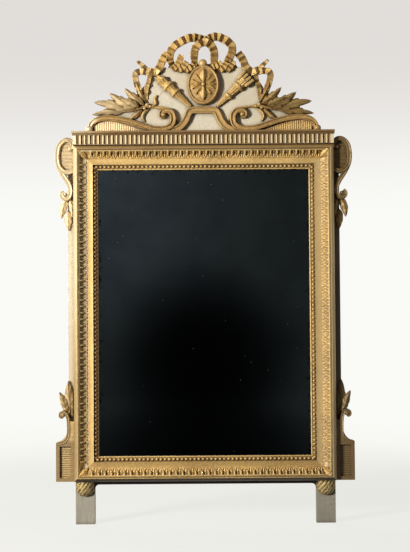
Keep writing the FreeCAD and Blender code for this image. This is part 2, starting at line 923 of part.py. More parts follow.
def carved_ball(centre, radius, depth):
    """A low dome with a flat back, centred on its back plane."""
    radius, depth = float(radius), float(depth)
    bulge = (radius**2 + depth**2) / (2 * depth)
    if depth > radius:
        ball = Part.makeSphere(radius, centre + Vector(0, radius - depth, 0))
        stem = Part.makeCylinder(radius, depth - radius, centre, Vector(0, -1, 0))
        lower = Part.makeBox(4 * radius, 4 * radius, 4 * radius, centre - Vector(2 * radius, 0, 2 * radius))
        return ball.fuse(stem).cut(lower).removeSplitter()
    ball = Part.makeSphere(bulge, centre + Vector(0, bulge - depth, 0))
    back = Part.makeBox(4 * bulge, 4 * bulge, 4 * bulge, centre - Vector(2 * bulge, 0, 2 * bulge))
    return ball.cut(back)


# Width and ridge height of a carved leaf along its length, as shares.
leaf_station_shares = ((0, 0.22, 0.75), (0.3, 0.85, 1), (0.55, 1, 0.95), (0.8, 0.62, 0.7), (1, 0.04, 0.3))


def carved_leaf(base, tip, width, depth, bow_share=0.0):
    """A leaf with a ridge along its middle and a flat back, bowed sideways by a share of its length."""
    front = Vector(0, -1, 0)
    chord = tip - base
    side = chord.cross(front).normalize()
    bend = base + chord * 0.5 + side * (2 * bow_share * chord.Length)
    sections = []
    for along, width_share, ridge_share in leaf_station_shares:
        point = base * (1 - along) ** 2 + bend * (2 * along * (1 - along)) + tip * along**2
        way = (bend - base) * (1 - along) + (tip - bend) * along
        across = way.cross(front).normalize() * (width_share * float(width) / 2)
        ridge = point + front * (ridge_share * float(depth))
        sections.append(Part.makePolygon([point - across, ridge, point + across, point - across]))
    return outward(Part.makeLoft(sections, True, True))


def fused(shapes):
    whole = shapes[0]
    if len(shapes) > 1:
        whole = whole.multiFuse(shapes[1:])
    return whole.removeSplitter()


def largest(shape):
    return max(shape.Solids, key=lambda solid: solid.Volume)


def trimmed(shape, *others):
    """The main piece left of a carved shape once its neighbours have taken their room."""
    for other in others:
        shape = shape.cut(other)
    return largest(shape)


# The S-scroll of the pediment, from its eye to its outer end, as shares of the crest.
scroll_shares = (
    (0.377, 0.212), (0.335, 0.240), (0.290, 0.195), (0.290, 0.110), (0.345, 0.040), (0.425, 0.026),
    (0.520, 0.046), (0.640, 0.091), (0.760, 0.133), (0.870, 0.148), (0.950, 0.118), (0.978, 0.058),
)
scroll_eye_shares = (0.358, 0.170)
scroll_end_shares = (0.962, 0.033)
eye_depth_share = 1.25
end_depth_share = 1.1


def scroll_shape(side):
    points = [crest_point(shares, crest_front, side) for shares in scroll_shares]
    band = carved_band(points, size.scroll_width, size.scroll_depth)
    eye_place = crest_point(scroll_eye_shares, crest_front, side)
    eye = carved_ball(eye_place, size.scroll_eye_radius, eye_depth_share * size.scroll_depth)
    end_place = crest_point(scroll_end_shares, crest_front, side)
    end_ball = carved_ball(end_place, size.scroll_end_radius, end_depth_share * size.scroll_depth)
    return fused([band, eye, end_ball])


panel_shares = (
    (0.50, 0.0), (0.95, 0.0), (0.965, 0.06), (0.93, 0.125), (0.87, 0.148), (0.76, 0.133), (0.64, 0.091),
    (0.52, 0.046),
)


def reeded(plate, low, high, along_x, front, pitch, depth):
    """Cuts a row of round grooves, along Z or along X, into the front of a plate."""
    radius = (float(pitch) ** 2 / 4 + float(depth) ** 2) / (2 * float(depth))
    way = Vector(0, 0, 1) if along_x else Vector(1, 0, 0)
    start, stop = (low.x, high.x) if along_x else (low.z, high.z)
    span = (high.z - low.z) if along_x else (high.x - low.x)
    count = int((stop - start) / float(pitch))
    first = (start + stop) / 2 - (count - 1) * float(pitch) / 2
    grooves = []
    for index in range(count):
        place = first + index * float(pitch)
        level = front - radius + float(depth)
        base = Vector(place, level, low.z) if along_x else Vector(low.x, level, place)
        grooves.append(Part.makeCylinder(radius, span, base, way))
    return plate.cut(Part.makeCompound(grooves[::2])).cut(Part.makeCompound(grooves[1::2]))


def plate_from(points, depth):
    face = Part.Face(Part.makePolygon(points + points[:1]))
    return outward(face.extrude(Vector(0, -float(depth), 0)))


def pediment_panel_shape(side, scroll):
    points = [crest_point(shares, crest_front, side) for shares in panel_shares]
    plate = trimmed(plate_from(points, size.panel_depth), scroll)
    box = plate.BoundBox
    low, high = Vector(box.XMin, 0, box.ZMin), Vector(box.XMax, 0, box.ZMax)
    front = place_y(crest_front + size.panel_depth)
    return largest(reeded(plate, low, high, True, front, size.reed_pitch, size.reed_depth))


arch_radius_share = 0.95


def make_arch():
    body = new_body("pedestal_arch")
    top = crest_level + size.arch_height
    under = top - size.arch_bar
    half_top = size.arch_top_width / 2
    half_base = size.arch_base_width / 2
    inner_base = half_base - size.arch_leg
    inner_top = half_top - size.arch_leg
    radius = arch_radius_share * size.arch_height
    outline = [
        (half_base, crest_level, radius, -1),
        (half_top, under),
        (half_top, top),
        (-half_top, top),
        (-half_top, under, radius, -1),
        (-half_base, crest_level),
        (-inner_base, crest_level, radius, 1),
        (-inner_top, under),
        (inner_top, under, radius, 1),
        (inner_base, crest_level),
    ]
    pad(body, "PedestalArch", [outline], crest_front, size.arch_depth)


def oval(name, width, height, level, ahead, depth):
    """An upright oval plate."""
    ring = doc.addObject("Part::Ellipse", f"{name}Ring")
    bind(ring, "MajorRadius", height / 2)
    bind(ring, "MinorRadius", width / 2)
    ring.Placement = Placement(Vector(), Rotation(Vector(1, 1, 1), -120))
    bind_place(ring, dim(0), ahead, level)
    plate = doc.addObject("Part::Extrusion", name)
    plate.Base = ring
    plate.DirMode = "Custom"
    plate.Dir = Vector(0, -1, 0)
    plate.Solid = True
    bind(plate, "LengthFwd", depth)
    return plate


medallion_level = crest_level + size.arch_height + size.medallion_height / 2
medallion_field = crest_front + size.medallion_depth - size.medallion_recess


def make_medallion():
    rim = 2 * size.medallion_rim
    plate = oval("MedallionPlate", size.medallion_width, size.medallion_height, medallion_level, crest_front,
                 size.medallion_depth)
    field = oval("MedallionField", size.medallion_width - rim, size.medallion_height - rim, medallion_level,
                 medallion_field, size.medallion_recess + size.overrun)
    medallion = add_node("medallion", doc.addObject("Part::Cut", "medallion"))
    medallion.Base = plate
    medallion.Tool = field


# Petals of the rosette: tip places as shares of the field's half axes, and widths as shares of its height.
petal_shares = ((0, 0.86, 0.2), (0, -0.86, 0.2), (0.84, 0, 0.24), (-0.84, 0, 0.24), (0.56, 0.56, 0.12),
                (-0.56, 0.56, 0.12), (0.56, -0.56, 0.12), (-0.56, -0.56, 0.12))
rosette_eye_share = 0.09
rosette_rise_share = 1.4


def rosette_shape():
    half_wide = float(size.medallion_width) / 2 - float(size.medallion_rim)
    half_high = float(size.medallion_height) / 2 - float(size.medallion_rim)
    centre = Vector(0, place_y(medallion_field), float(medallion_level))
    petals = []
    for across, up, width_share in petal_shares:
        tip = centre + Vector(across * half_wide, 0, up * half_high)
        width = width_share * float(size.medallion_height)
        petals.append(carved_leaf(centre, tip, width, size.rosette_depth))
    eye_radius = rosette_eye_share * float(size.medallion_height)
    eye = carved_ball(centre, eye_radius, size.rosette_depth * rosette_rise_share)
    return fused([eye] + petals)


def make_knob():
    level = medallion_level + size.medallion_height / 2 + size.knob_radius + size.fit_gap
    ahead = crest_front + size.knob_radius / 2
    ball = doc.addObject("Part::Sphere", "KnobBall")
    bind(ball, "Radius", size.knob_radius)
    bind_place(ball, dim(0), ahead, level)
    neck = doc.addObject("Part::Cylinder", "KnobNeck")
    bind(neck, "Radius", size.knob_neck_radius)
    bind(neck, "Height", ahead - size.crest_setback)
    neck.Placement = Placement(Vector(), Rotation(Vector(1, 0, 0), 90))
    bind_place(neck, dim(0), size.crest_setback, level)
    knob = add_node("medallion_knob", doc.addObject("Part::Fuse", "medallion_knob"))
    knob.Base = ball
    knob.Tool = neck


# Turned outlines as (radius, length) shares, from the foot up.
torch_profile_shares = (
    (0, 0), (0.24, 0), (0.3, 0.06), (0.62, 0.42), (0.86, 0.45), (0.86, 0.5), (0.6, 0.53), (0.75, 0.62),
    (1, 0.68), (1, 0.73), (0.7, 0.76), (0.78, 0.86), (0.5, 0.95), (0, 1),
)
quiver_profile_shares = (
    (0, 0), (0.24, 0), (0.34, 0.08), (0.5, 0.28), (0.7, 0.3), (0.7, 0.35), (0.55, 0.38), (0.72, 0.62),
    (0.9, 0.64), (0.9, 0.7), (0.8, 0.72), (1, 0.86), (0.75, 0.86), (0.8, 1), (0, 1),
)
torch_foot_shares = (-0.112, 0.265)
torch_head_shares = (-0.395, 0.56)
quiver_foot_shares = (0.122, 0.262)
quiver_head_shares = (0.43, 0.565)


def make_turned(label, profile_shares, radius, length, foot_shares, head_shares):
    """A half-round turned piece lying slantwise on the board."""
    body = new_body(label)
    sketch = sketch_on(body, f"{label}Sketch", "XZ_Plane", dim(0))
    draw_outline(sketch, [(radius * wide, length * up) for wide, up in profile_shares])
    turn = body.newObject("PartDesign::Revolution", f"{label}Turn")
    turn.Profile = sketch
    turn.ReferenceAxis = (sketch, ["V_Axis"])
    turn.Angle = 180
    turn.Reversed = True
    lean = crest_point(head_shares, crest_front) - crest_point(foot_shares, crest_front)
    angle = math.degrees(math.atan2(lean.x, lean.z))
    body.Placement = Placement(Vector(), Rotation(Vector(0, 1, 0), angle))
    bind_place(body, on_crest(foot_shares)[0], crest_front, on_crest(foot_shares)[1])


# Ribbon bow: side loops, front loop and crumpled ends, as shares of the crest.
bow_left_shares = (
    (-0.13, 0.70), (-0.205, 0.735), (-0.262, 0.80), (-0.225, 0.885), (-0.13, 0.945), (-0.03, 0.952),
    (0.06, 0.90),
)
bow_right_shares = (
    (0.15, 0.705), (0.235, 0.76), (0.258, 0.845), (0.20, 0.925), (0.11, 0.958), (0.0, 0.945),
    (-0.07, 0.895),
)
bow_front_shares = (
    (-0.075, 0.70), (-0.083, 0.79), (-0.045, 0.865), (0.012, 0.885), (0.068, 0.862), (0.1, 0.79),
    (0.085, 0.70),
)
bow_folds_shares = (((-0.25, 0.69), (-0.19, 0.745), (-0.14, 0.70), (-0.09, 0.715)),
                    ((0.09, 0.715), (0.14, 0.70), (0.2, 0.75), (0.25, 0.69)))
bow_front_width_share = 0.85
# How far each ribbon stands out, so that the loops cross one over the other.
bow_rise_shares = {"left": 1, "right": 0.9, "front": 1.3, "left_fold": 1.2, "right_fold": 1.15}


def bow_shape():
    back = size.crest_setback
    bands = []
    for name, table, width in (
        ("left", bow_left_shares, size.ribbon_width),
        ("right", bow_right_shares, size.ribbon_width),
        ("front", bow_front_shares, size.ribbon_width * bow_front_width_share),
        ("left_fold", bow_folds_shares[0], size.tail_width),
        ("right_fold", bow_folds_shares[1], size.tail_width),
    ):
        points = [crest_point(shares, back) for shares in table]
        bands.append(carved_band(points, width, size.ribbon_depth * bow_rise_shares[name]))
    return fused(bands)


tail_shares = ((0.31, 0.775), (0.365, 0.69), (0.42, 0.625), (0.485, 0.618), (0.545, 0.68), (0.575, 0.725))
strand_width_share = 0.6
strand_depth_share = 0.8
strand_shares = ((0.475, 0.615), (0.53, 0.60), (0.605, 0.60), (0.60, 0.52), (0.545, 0.43))


def tail_shape(side):
    points = [crest_point(shares, crest_front, side) for shares in tail_shares]
    tail = carved_band(points, size.tail_width, size.tail_depth)
    points = [crest_point(shares, crest_front, side) for shares in strand_shares]
    strand = carved_band(points, size.tail_width * strand_width_share, size.tail_depth * strand_depth_share)
    return fused([tail, strand])


# Laurel spray: leaf tips as shares of the crest, each with a width share and a sideways bow.
laurel_base_shares = (0.515, 0.275)
laurel_shares = (
    (0.675, 0.118, 0.9, 0.05), (0.955, 0.195, 1.0, -0.12), (0.940, 0.308, 1.1, -0.04),
    (0.815, 0.395, 1.1, 0.05),
    (0.738, 0.350, 0.8, 0.0), (0.676, 0.445, 1.0, 0.06), (0.60, 0.40, 0.8, 0.05),
)
berry_share = 0.36


def laurel_shape(side):
    base = crest_point(laurel_base_shares, crest_front, side)
    leaves = []
    for across, up, width_share, bow in laurel_shares:
        tip = crest_point((across, up), crest_front, side)
        width = width_share * float(size.sprig_width)
        leaves.append(carved_leaf(base, tip, width, size.sprig_depth, side * bow))
    hub = carved_ball(base, size.sprig_width * berry_share, size.sprig_depth)
    return fused([hub] + leaves)


tendril_shares = ((0.235, 0.15), (0.262, 0.235), (0.325, 0.29), (0.405, 0.268), (0.47, 0.262))


def tendril_shape(side):
    points = [crest_point(shares, crest_front, side) for shares in tendril_shares]
    return carved_band(points, size.tendril_width, size.tendril_depth)


# Ears: C-scroll over a reeded panel, as shares of the ear's width and height.
ear_high = frieze_high + size.cornice_height - size.ear_drop
ear_scroll_shares = (
    (0.33, 0.83), (0.15, 0.87), (0.19, 0.955), (0.50, 0.972), (0.84, 0.90), (0.905, 0.75), (0.84, 0.61),
    (0.66, 0.48),
    (0.44, 0.37), (0.28, 0.23), (0.26, 0.12), (0.42, 0.035), (0.64, 0.07), (0.60, 0.145),
)
ear_panel_shares = (
    (0, 0.86), (0, 0.42), (0.50, 0.40), (0.66, 0.48), (0.84, 0.61), (0.905, 0.75), (0.84, 0.90),
    (0.5, 0.97), (0.2, 0.955),
)
ear_leaf_shares = ((0.18, 0.62, 0.8, -0.06), (0.40, 1.0, 1.0, 0.04), (0.72, 0.6, 0.8, 0.08))
ear_leaf_base_shares = (0.36, 0.02)


def ear_point(shares, side):
    across = float(outer_half) + shares[0] * float(size.ear_width)
    up = float(ear_high) - (1 - shares[1]) * float(size.ear_height)
    return Vector(side * across, place_y(front_of_frame), up)


def ear_scroll_shape(side):
    points = [ear_point(shares, side) for shares in ear_scroll_shares]
    return carved_band(points, size.ear_band, size.ear_depth)


def ear_panel_shape(side, scroll):
    points = [ear_point(shares, side) for shares in ear_panel_shares]
    plate = trimmed(plate_from(points, size.ear_panel_depth), scroll)
    box = plate.BoundBox
    low, high = Vector(box.XMin, 0, box.ZMin), Vector(box.XMax, 0, box.ZMax)
    front = place_y(front_of_frame + size.ear_panel_depth)
    return largest(reeded(plate, low, high, False, front, size.reed_pitch, size.reed_depth))


def ear_leaf_shape(side, scroll):
    base = ear_point(ear_leaf_base_shares, side)
    leaves = []
    for across, fall, width_share, bow in ear_leaf_shares:
        tip = Vector(side * (float(outer_half) + across * float(size.ear_width)), base.y, base.z)
        tip.z -= fall * float(size.ear_leaf_length)
        width = width_share * float(size.ear_leaf_width)
        leaves.append(carved_leaf(base, tip, width, size.ear_leaf_depth, side * bow))
    return trimmed(fused(leaves), scroll)


# Shoulders: a sunk reeded panel with a hollow top corner.
shoulder_high = moulding_low + size.shoulder_height
neck_low = shoulder_high + size.shoulder_curve
neck_high = neck_low + size.shoulder_neck_height
shoulder_radius_share = 1.25


def make_shoulder(name, side):
    body = new_body(f"shoulder_{name}")
    outer = outer_half + size.shoulder_width
    neck = outer_half + size.shoulder_neck_width
    outline = [
        (outer_half, moulding_low),
        (outer, moulding_low),
        (outer, shoulder_high, shoulder_radius_share * size.shoulder_curve, -1),
        (neck, neck_low),
        (neck, neck_high),
        (outer_half, neck_high),
    ]
    pad(body, f"Shoulder{name}", [mirrored(outline, side)], front_of_frame, size.shoulder_depth)
    border = size.shoulder_border
    face = front_of_frame + size.shoulder_depth
    sunk = rectangle(outer_half + border, moulding_low + border, outer - border, shoulder_high - border)
    recess = size.shoulder_recess
    cut(body, f"ShoulderPanel{name}", [mirrored(sunk, side)], face - recess, recess)
    count = ((size.shoulder_height - 2 * border) / size.reed_pitch).whole()
    radius = size.reed_pitch * size.reed_pitch / 4 + size.reed_depth * size.reed_depth
    radius = radius / (2 * size.reed_depth)
    floor = face - recess
    first = moulding_low + size.shoulder_height / 2 - (count - 1) * size.reed_pitch / 2
    start = outer_half + border if side > 0 else border - outer
    sketch = sketch_on(body, f"ReedSketch{name}", "YZ_Plane", start)
    half = size.reed_pitch * reed_share / 2
    front = wall - floor
    back = wall - (floor - size.reed_depth)
    draw_outline(sketch, [(front, first - half, radius, 1), (front, first + half), (back, first)])
    reed = body.newObject("PartDesign::Pocket", f"Reed{name}")
    reed.Profile = sketch
    reed.Reversed = True
    bind(reed, "Length", size.shoulder_width - 2 * border)
    pattern_along(body, reed, "Z_Axis", size.reed_pitch, count)


reed_share = 0.9
shoulder_leaf_shares = ((0.36, 1.0, 1.0, -0.05), (0.80, 0.72, 0.9, -0.1), (0.78, 0.36, 0.7, -0.05))
shoulder_curl_shares = (0.60, 0.13)
shoulder_base_shares = (0.26, 0.0)
curl_share = 0.55


def shoulder_leaf_shape(side):
    def point(across, up):
        beside = side * (float(outer_half) + across * float(size.shoulder_width))
        return Vector(beside, place_y(front_of_frame), float(neck_high) + up * float(size.shoulder_leaf_height))

    base = point(*shoulder_base_shares)
    base.z += float(size.fit_gap)
    leaves = []
    for across, up, width_share, bow in shoulder_leaf_shares:
        width = width_share * float(size.shoulder_leaf_width)
        leaves.append(carved_leaf(base, point(across, up), width, size.ear_leaf_depth, side * bow))
    curl_radius = size.shoulder_leaf_width * curl_share
    curl = carved_ball(point(*shoulder_curl_shares), curl_radius, size.ear_leaf_depth)
    return fused([curl] + leaves)


# Rounded caps on the feet: a half-turned drop against the front of each foot.
cap_profile_shares = ((0.2, 0), (0.55, 0.07), (0.8, 0.2), (0.95, 0.42), (1, 0.7), (1, 1))


def make_foot_cap(name, side):
    body = new_body(f"foot_cap_{name}")
    sketch = sketch_on(body, f"CapSketch{name}", "XZ_Plane", dim(0))
    radius = size.foot_width / 2
    profile = [(dim(0), dim(0))]
    profile += [(radius * wide, size.cap_height * up) for wide, up in cap_profile_shares]
    profile += [(dim(0), size.cap_height)]
    draw_outline(sketch, profile)
    turn = body.newObject("PartDesign::Revolution", f"CapTurn{name}")
    turn.Profile = sketch
    turn.ReferenceAxis = (sketch, ["V_Axis"])
    turn.Angle = 180
    turn.Reversed = True
    bind_place(body, side * (stile_in + radius), front_of_frame, moulding_low - size.cap_height)


# Hanging irons: a strap with a rolled knuckle, and a ring that swings in it.
knuckle_ahead = size.pocket_depth - size.knuckle_radius


def strap_shape(side):
    middle = side * float(hanger_across)
    half = float(size.strap_width) / 2
    level = float(hanger_level)
    floor = place_y(size.pocket_depth)
    plate = Part.makeBox(2 * half, float(size.strap_thickness), float(size.strap_length),
                         Vector(middle - half, floor, float(strap_low)))
    axis_point = Vector(middle - half, place_y(knuckle_ahead), level)
    knuckle = Part.makeCylinder(float(size.knuckle_radius), 2 * half, axis_point, Vector(1, 0, 0))
    bore_radius = float(size.ring_wire_radius + size.pin_gap)
    bore = Part.makeCylinder(bore_radius, 2 * half, axis_point, Vector(1, 0, 0))
    strap = plate.fuse(knuckle).cut(bore)
    room = screw_profile(size.strap_screw_length, size.strap_thickness, size.fit_gap)
    return strap.cut(turned_copies(room, strap_screw_places(side))).removeSplitter()


def ring_shape(side):
    middle = side * float(hanger_across)
    depth = place_y(knuckle_ahead)
    level = float(hanger_level)
    half = float(size.ring_width) / 2
    corner = float(size.ring_corner)
    slant = corner * math.sqrt(0.5)
    bow_level = level - float(size.ring_length) + half

    def at(across, up):
        return Vector(middle + across, depth, up)

    edges = [
        Part.LineSegment(at(corner - half, level), at(half - corner, level)),
        Part.Arc(
            at(half - corner, level), at(half - corner + slant, level - corner + slant), at(half, level - corner)
        ),
        Part.LineSegment(at(half, level - corner), at(half, bow_level)),
        Part.Arc(at(half, bow_level), at(0, bow_level - half), at(-half, bow_level)),
        Part.LineSegment(at(-half, bow_level), at(-half, level - corner)),
        Part.Arc(
            at(-half, level - corner), at(corner - half - slant, level - corner + slant), at(corner - half, level)
        ),
    ]
    path = Part.Wire([edge.toShape() for edge in edges])
    circle = Part.Circle(at(corner - half, level), Vector(1, 0, 0), float(size.ring_wire_radius))
    shell = Part.BRepOffsetAPI.MakePipeShell(path)
    shell.add(Part.Wire(circle.toShape()))
    shell.build()
    shell.makeSolid()
    return outward(shell.shape())


# Build the pieces.
for side_name, side_sign in SIDES.items():
    make_stile(side_name, side_sign)
make_bottom_rail()
make_top_rail()
make_pegs()
for frame_side in frame_sides:
    make_moulding(frame_side)
    make_slip(frame_side)
make_glass()
make_blocks()
make_backboards()
make_nails()
make_frieze()
make_cornice()
make_pediment_board()
make_bow_backing()
make_battens()
crest_screw = screw_profile(size.screw_length, size.screw_head_height, dim(0))
part_feature("crest_screws", turned_copies(crest_screw, crest_screw_places()))
strap_screw = screw_profile(size.strap_screw_length, size.strap_thickness, dim(0))
part_feature("hanger_screws", turned_copies(strap_screw, strap_screw_places(-1) + strap_screw_places(1)))
make_arch()
make_medallion()
part_feature("rosette", rosette_shape())
make_knob()
make_turned("torch", torch_profile_shares, size.torch_radius, size.torch_length, torch_foot_shares,
            torch_head_shares)
make_turned("quiver", quiver_profile_shares, size.quiver_radius, size.quiver_length, quiver_foot_shares,
            quiver_head_shares)
doc.recompute()
part_feature("ribbon_bow", trimmed(bow_shape(), nodes["medallion_knob"].Shape, nodes["pediment_board"].Shape))
for side_name, side_sign in SIDES.items():
    make_shoulder(side_name, side_sign)
    make_foot_cap(side_name, side_sign)
    scroll = scroll_shape(side_sign)
    part_feature(f"scroll_{side_name}", scroll)
    part_feature(f"pediment_panel_{side_name}", pediment_panel_shape(side_sign, scroll))
    laurel = trimmed(laurel_shape(side_sign), scroll, nodes["torch"].Shape, nodes["quiver"].Shape)
    part_feature(f"laurel_{side_name}", laurel)
    tail = trimmed(tail_shape(side_sign), laurel, nodes["torch"].Shape, nodes["quiver"].Shape)
    part_feature(f"ribbon_tail_{side_name}", trimmed(tail, nodes["ribbon_bow"].Shape))
    tendril = trimmed(tendril_shape(side_sign), scroll, laurel, nodes["pedestal_arch"].Shape)
    part_feature(f"tendril_{side_name}", tendril)
    ear_scroll = ear_scroll_shape(side_sign)
    part_feature(f"ear_scroll_{side_name}", ear_scroll)
    part_feature(f"ear_panel_{side_name}", ear_panel_shape(side_sign, ear_scroll))
    part_feature(f"ear_leaf_{side_name}", ear_leaf_shape(side_sign, ear_scroll))
    part_feature(f"shoulder_leaf_{side_name}", shoulder_leaf_shape(side_sign))
    part_feature(f"hanger_strap_{side_name}", strap_shape(side_sign))
    part_feature(f"hanging_ring_{side_name}", ring_shape(side_sign))
doc.recompute()

# Check every object, then write one file for each piece.
for item in doc.Objects:
    if "Invalid" in item.State or "Error" in item.State:
        raise RuntimeError(f"{item.Label} did not build: {item.State}")
for label, item in nodes.items():
    if item.Shape.isNull() or not item.Shape.isValid() or not item.Shape.Solids:
        raise RuntimeError(f"{label} is not a valid solid")
os.makedirs("parts", exist_ok=True)
for label, item in nodes.items():
    item.Shape.exportStep(f"parts/{label}.step")
print(f"{len(nodes)} pieces written")
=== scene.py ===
import math

import bmesh
import bpy
from mathutils import Matrix, Vector


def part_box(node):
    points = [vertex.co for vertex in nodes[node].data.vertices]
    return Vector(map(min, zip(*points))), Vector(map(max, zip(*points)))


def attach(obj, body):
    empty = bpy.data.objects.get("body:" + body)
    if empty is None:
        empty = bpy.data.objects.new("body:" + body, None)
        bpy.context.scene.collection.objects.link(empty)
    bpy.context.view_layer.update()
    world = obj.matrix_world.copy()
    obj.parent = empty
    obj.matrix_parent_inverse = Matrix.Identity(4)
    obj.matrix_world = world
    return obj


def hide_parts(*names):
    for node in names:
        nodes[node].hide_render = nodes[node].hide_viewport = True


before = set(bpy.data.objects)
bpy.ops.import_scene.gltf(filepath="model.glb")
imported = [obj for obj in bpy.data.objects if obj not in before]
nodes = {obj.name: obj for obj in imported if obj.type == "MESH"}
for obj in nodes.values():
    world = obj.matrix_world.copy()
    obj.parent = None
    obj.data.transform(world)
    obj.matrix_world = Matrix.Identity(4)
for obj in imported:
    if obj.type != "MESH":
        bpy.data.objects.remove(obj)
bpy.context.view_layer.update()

mm = 0.001
front = Vector((0, -1, 0))
sides = {"left": -1, "right": 1}
edgesOfFrame = ("top", "bottom", "left", "right")
mitreBlur = 0.001


# Shader graph helpers
class Socket:
    def __init__(self, paint, out):
        self.paint = paint
        self.out = out

    def math(self, operation, first, second=0.0):
        return self.paint.node("ShaderNodeMath", {"operation": operation}, {0: first, 1: second})

    def __add__(self, other):
        return self.math("ADD", self, other)

    __radd__ = __add__

    def __sub__(self, other):
        return self.math("SUBTRACT", self, other)

    def __rsub__(self, other):
        return self.math("SUBTRACT", other, self)

    def __mul__(self, other):
        return self.math("MULTIPLY", self, other)

    __rmul__ = __mul__

    def __truediv__(self, other):
        return self.math("DIVIDE", self, other)

    def __rtruediv__(self, other):
        return self.math("DIVIDE", other, self)

    def __pow__(self, other):
        return self.math("POWER", self, other)

    def __abs__(self):
        return self.math("ABSOLUTE", self)

    def least(self, other):
        return self.math("MINIMUM", self, other)

    def most(self, other):
        return self.math("MAXIMUM", self, other)

    def between(self, low, high):
        inputs = {0: self, 1: low, 2: high, 3: 0.0, 4: 1.0}
        return self.paint.node("ShaderNodeMapRange", {"interpolation_type": "SMOOTHSTEP"}, inputs)

    def inside(self, low, lowFull, highFull, high):
        return self.between(low, lowFull) * (1.0 - self.between(highFull, high))

    def beyond(self, other):  # 1 where this is the larger, with a soft mitre line
        return (self - other).between(-mitreBlur, mitreBlur)

    def fraction(self):
        return self.math("FRACT", self)


class Paint:
    def __init__(self, name):
        self.material = bpy.data.materials.new(name)
        self.material.use_nodes = True
        self.tree = self.material.node_tree
        self.tree.nodes.clear()
        self.end = self.tree.nodes.new("ShaderNodeOutputMaterial")

    def node(self, kind, settings=None, inputs=None, out=0):
        made = self.tree.nodes.new(kind)
        for key, value in (settings or {}).items():
            setattr(made, key, value)
        for key, value in (inputs or {}).items():
            if isinstance(value, Socket):
                self.tree.links.new(value.out, made.inputs[key])
            else:
                made.inputs[key].default_value = value
        return Socket(self, made.outputs[out])

    def place(self):
        return self.node("ShaderNodeTexCoord", out="Object")

    def parts(self, vector):
        made = self.node("ShaderNodeSeparateXYZ", inputs={0: vector}).out.node
        return [Socket(self, made.outputs[index]) for index in range(3)]

    def stretched(self, vector, scale):
        return self.node("ShaderNodeMapping", inputs={"Vector": vector, "Scale": scale})

    def noise(self, vector, scale, detail=3.0, roughness=0.55):
        inputs = {"Vector": vector, "Scale": scale, "Detail": detail, "Roughness": roughness}
        return self.node("ShaderNodeTexNoise", inputs=inputs)

    def cells(self, vector, scale, feature="F1"):
        inputs = {"Vector": vector, "Scale": scale}
        return self.node("ShaderNodeTexVoronoi", {"feature": feature}, inputs)

    def hollow(self, distance):
        inputs = {"Distance": distance}
        return self.node("ShaderNodeAmbientOcclusion", {"samples": 8}, inputs, out="AO")

    def blend(self, share, first, second):
        inputs = {0: share, 6: first, 7: second}
        return self.node("ShaderNodeMix", {"data_type": "RGBA"}, inputs, out=2)

    def bump(self, height, strength, distance):
        inputs = {"Height": height, "Strength": strength, "Distance": distance}
        return self.node("ShaderNodeBump", inputs=inputs)

    def surface(self, **values):
        inputs = {key.replace("_", " "): value for key, value in values.items()}
        return self.close(self.node("ShaderNodeBsdfPrincipled", inputs=inputs))

    def glow(self, colour):
        return self.node("ShaderNodeEmission", inputs={"Color": colour, "Strength": 1.0})

    def close(self, shader):
        self.tree.links.new(shader.out, self.end.inputs["Surface"])
        return self.material


def tone(code):
    # sRGB hex to linear
    parts = [int(code[place:place + 2], 16) / 255 for place in (1, 3, 5)]
    linear = [part / 12.92 if part <= 0.04045 else ((part + 0.055) / 1.055) ** 2.4 for part in parts]
    return (*linear, 1.0)


# Gold leaf over red bole, with dirt and painted shade darkening the hollows through an ambient-occlusion mask
# painted light on the left side and painted shade on the right side: near and far distance from the middle, and
# share
giltLook = {
    "bright": "#EACB8A", "mid": "#D6AE64", "dull": "#B58D4A", "bole": "#7C4A22", "dirtAndShade": "#331D08",
    "metal": 0.30, "rough": 0.44, "hollow": 0.010, "wear": 0.5, "crown": 0.35,
    "leftLight": "#F6E4BE", "leftLightSpread": (0.302, 0.308, 0.6), "rightShadeTint": "#54401F", "rightShadeSpread": (0.3148, 0.318, 0.5),
}
# noise as scale, detail and roughness, then the spans that the masks take from it
giltGrain = {
    "patch": (9.0, 4.0), "fine": (150.0, 2.0), "speck": (620.0, 3.0, 0.7), "rub": (46.0, 5.0, 0.65),
    "patchSpan": (0.36, 0.62), "fineSpan": (0.36, 0.74), "fineShare": 0.6, "rubSpan": (0.63, 0.74),
    "dirtShadeSpan": (0.12, 0.72), "crownSpan": (0.78, 1.0), "upperSpan": (0.25, 0.62),
    "speckRough": 0.22, "dirtRough": 0.25, "rubRough": 0.18, "rubMetal": 0.7, "dirtMetal": 0.35,
    "fineBump": 0.6, "speckBump": 0.4, "bump": (0.14, 0.0006),
}


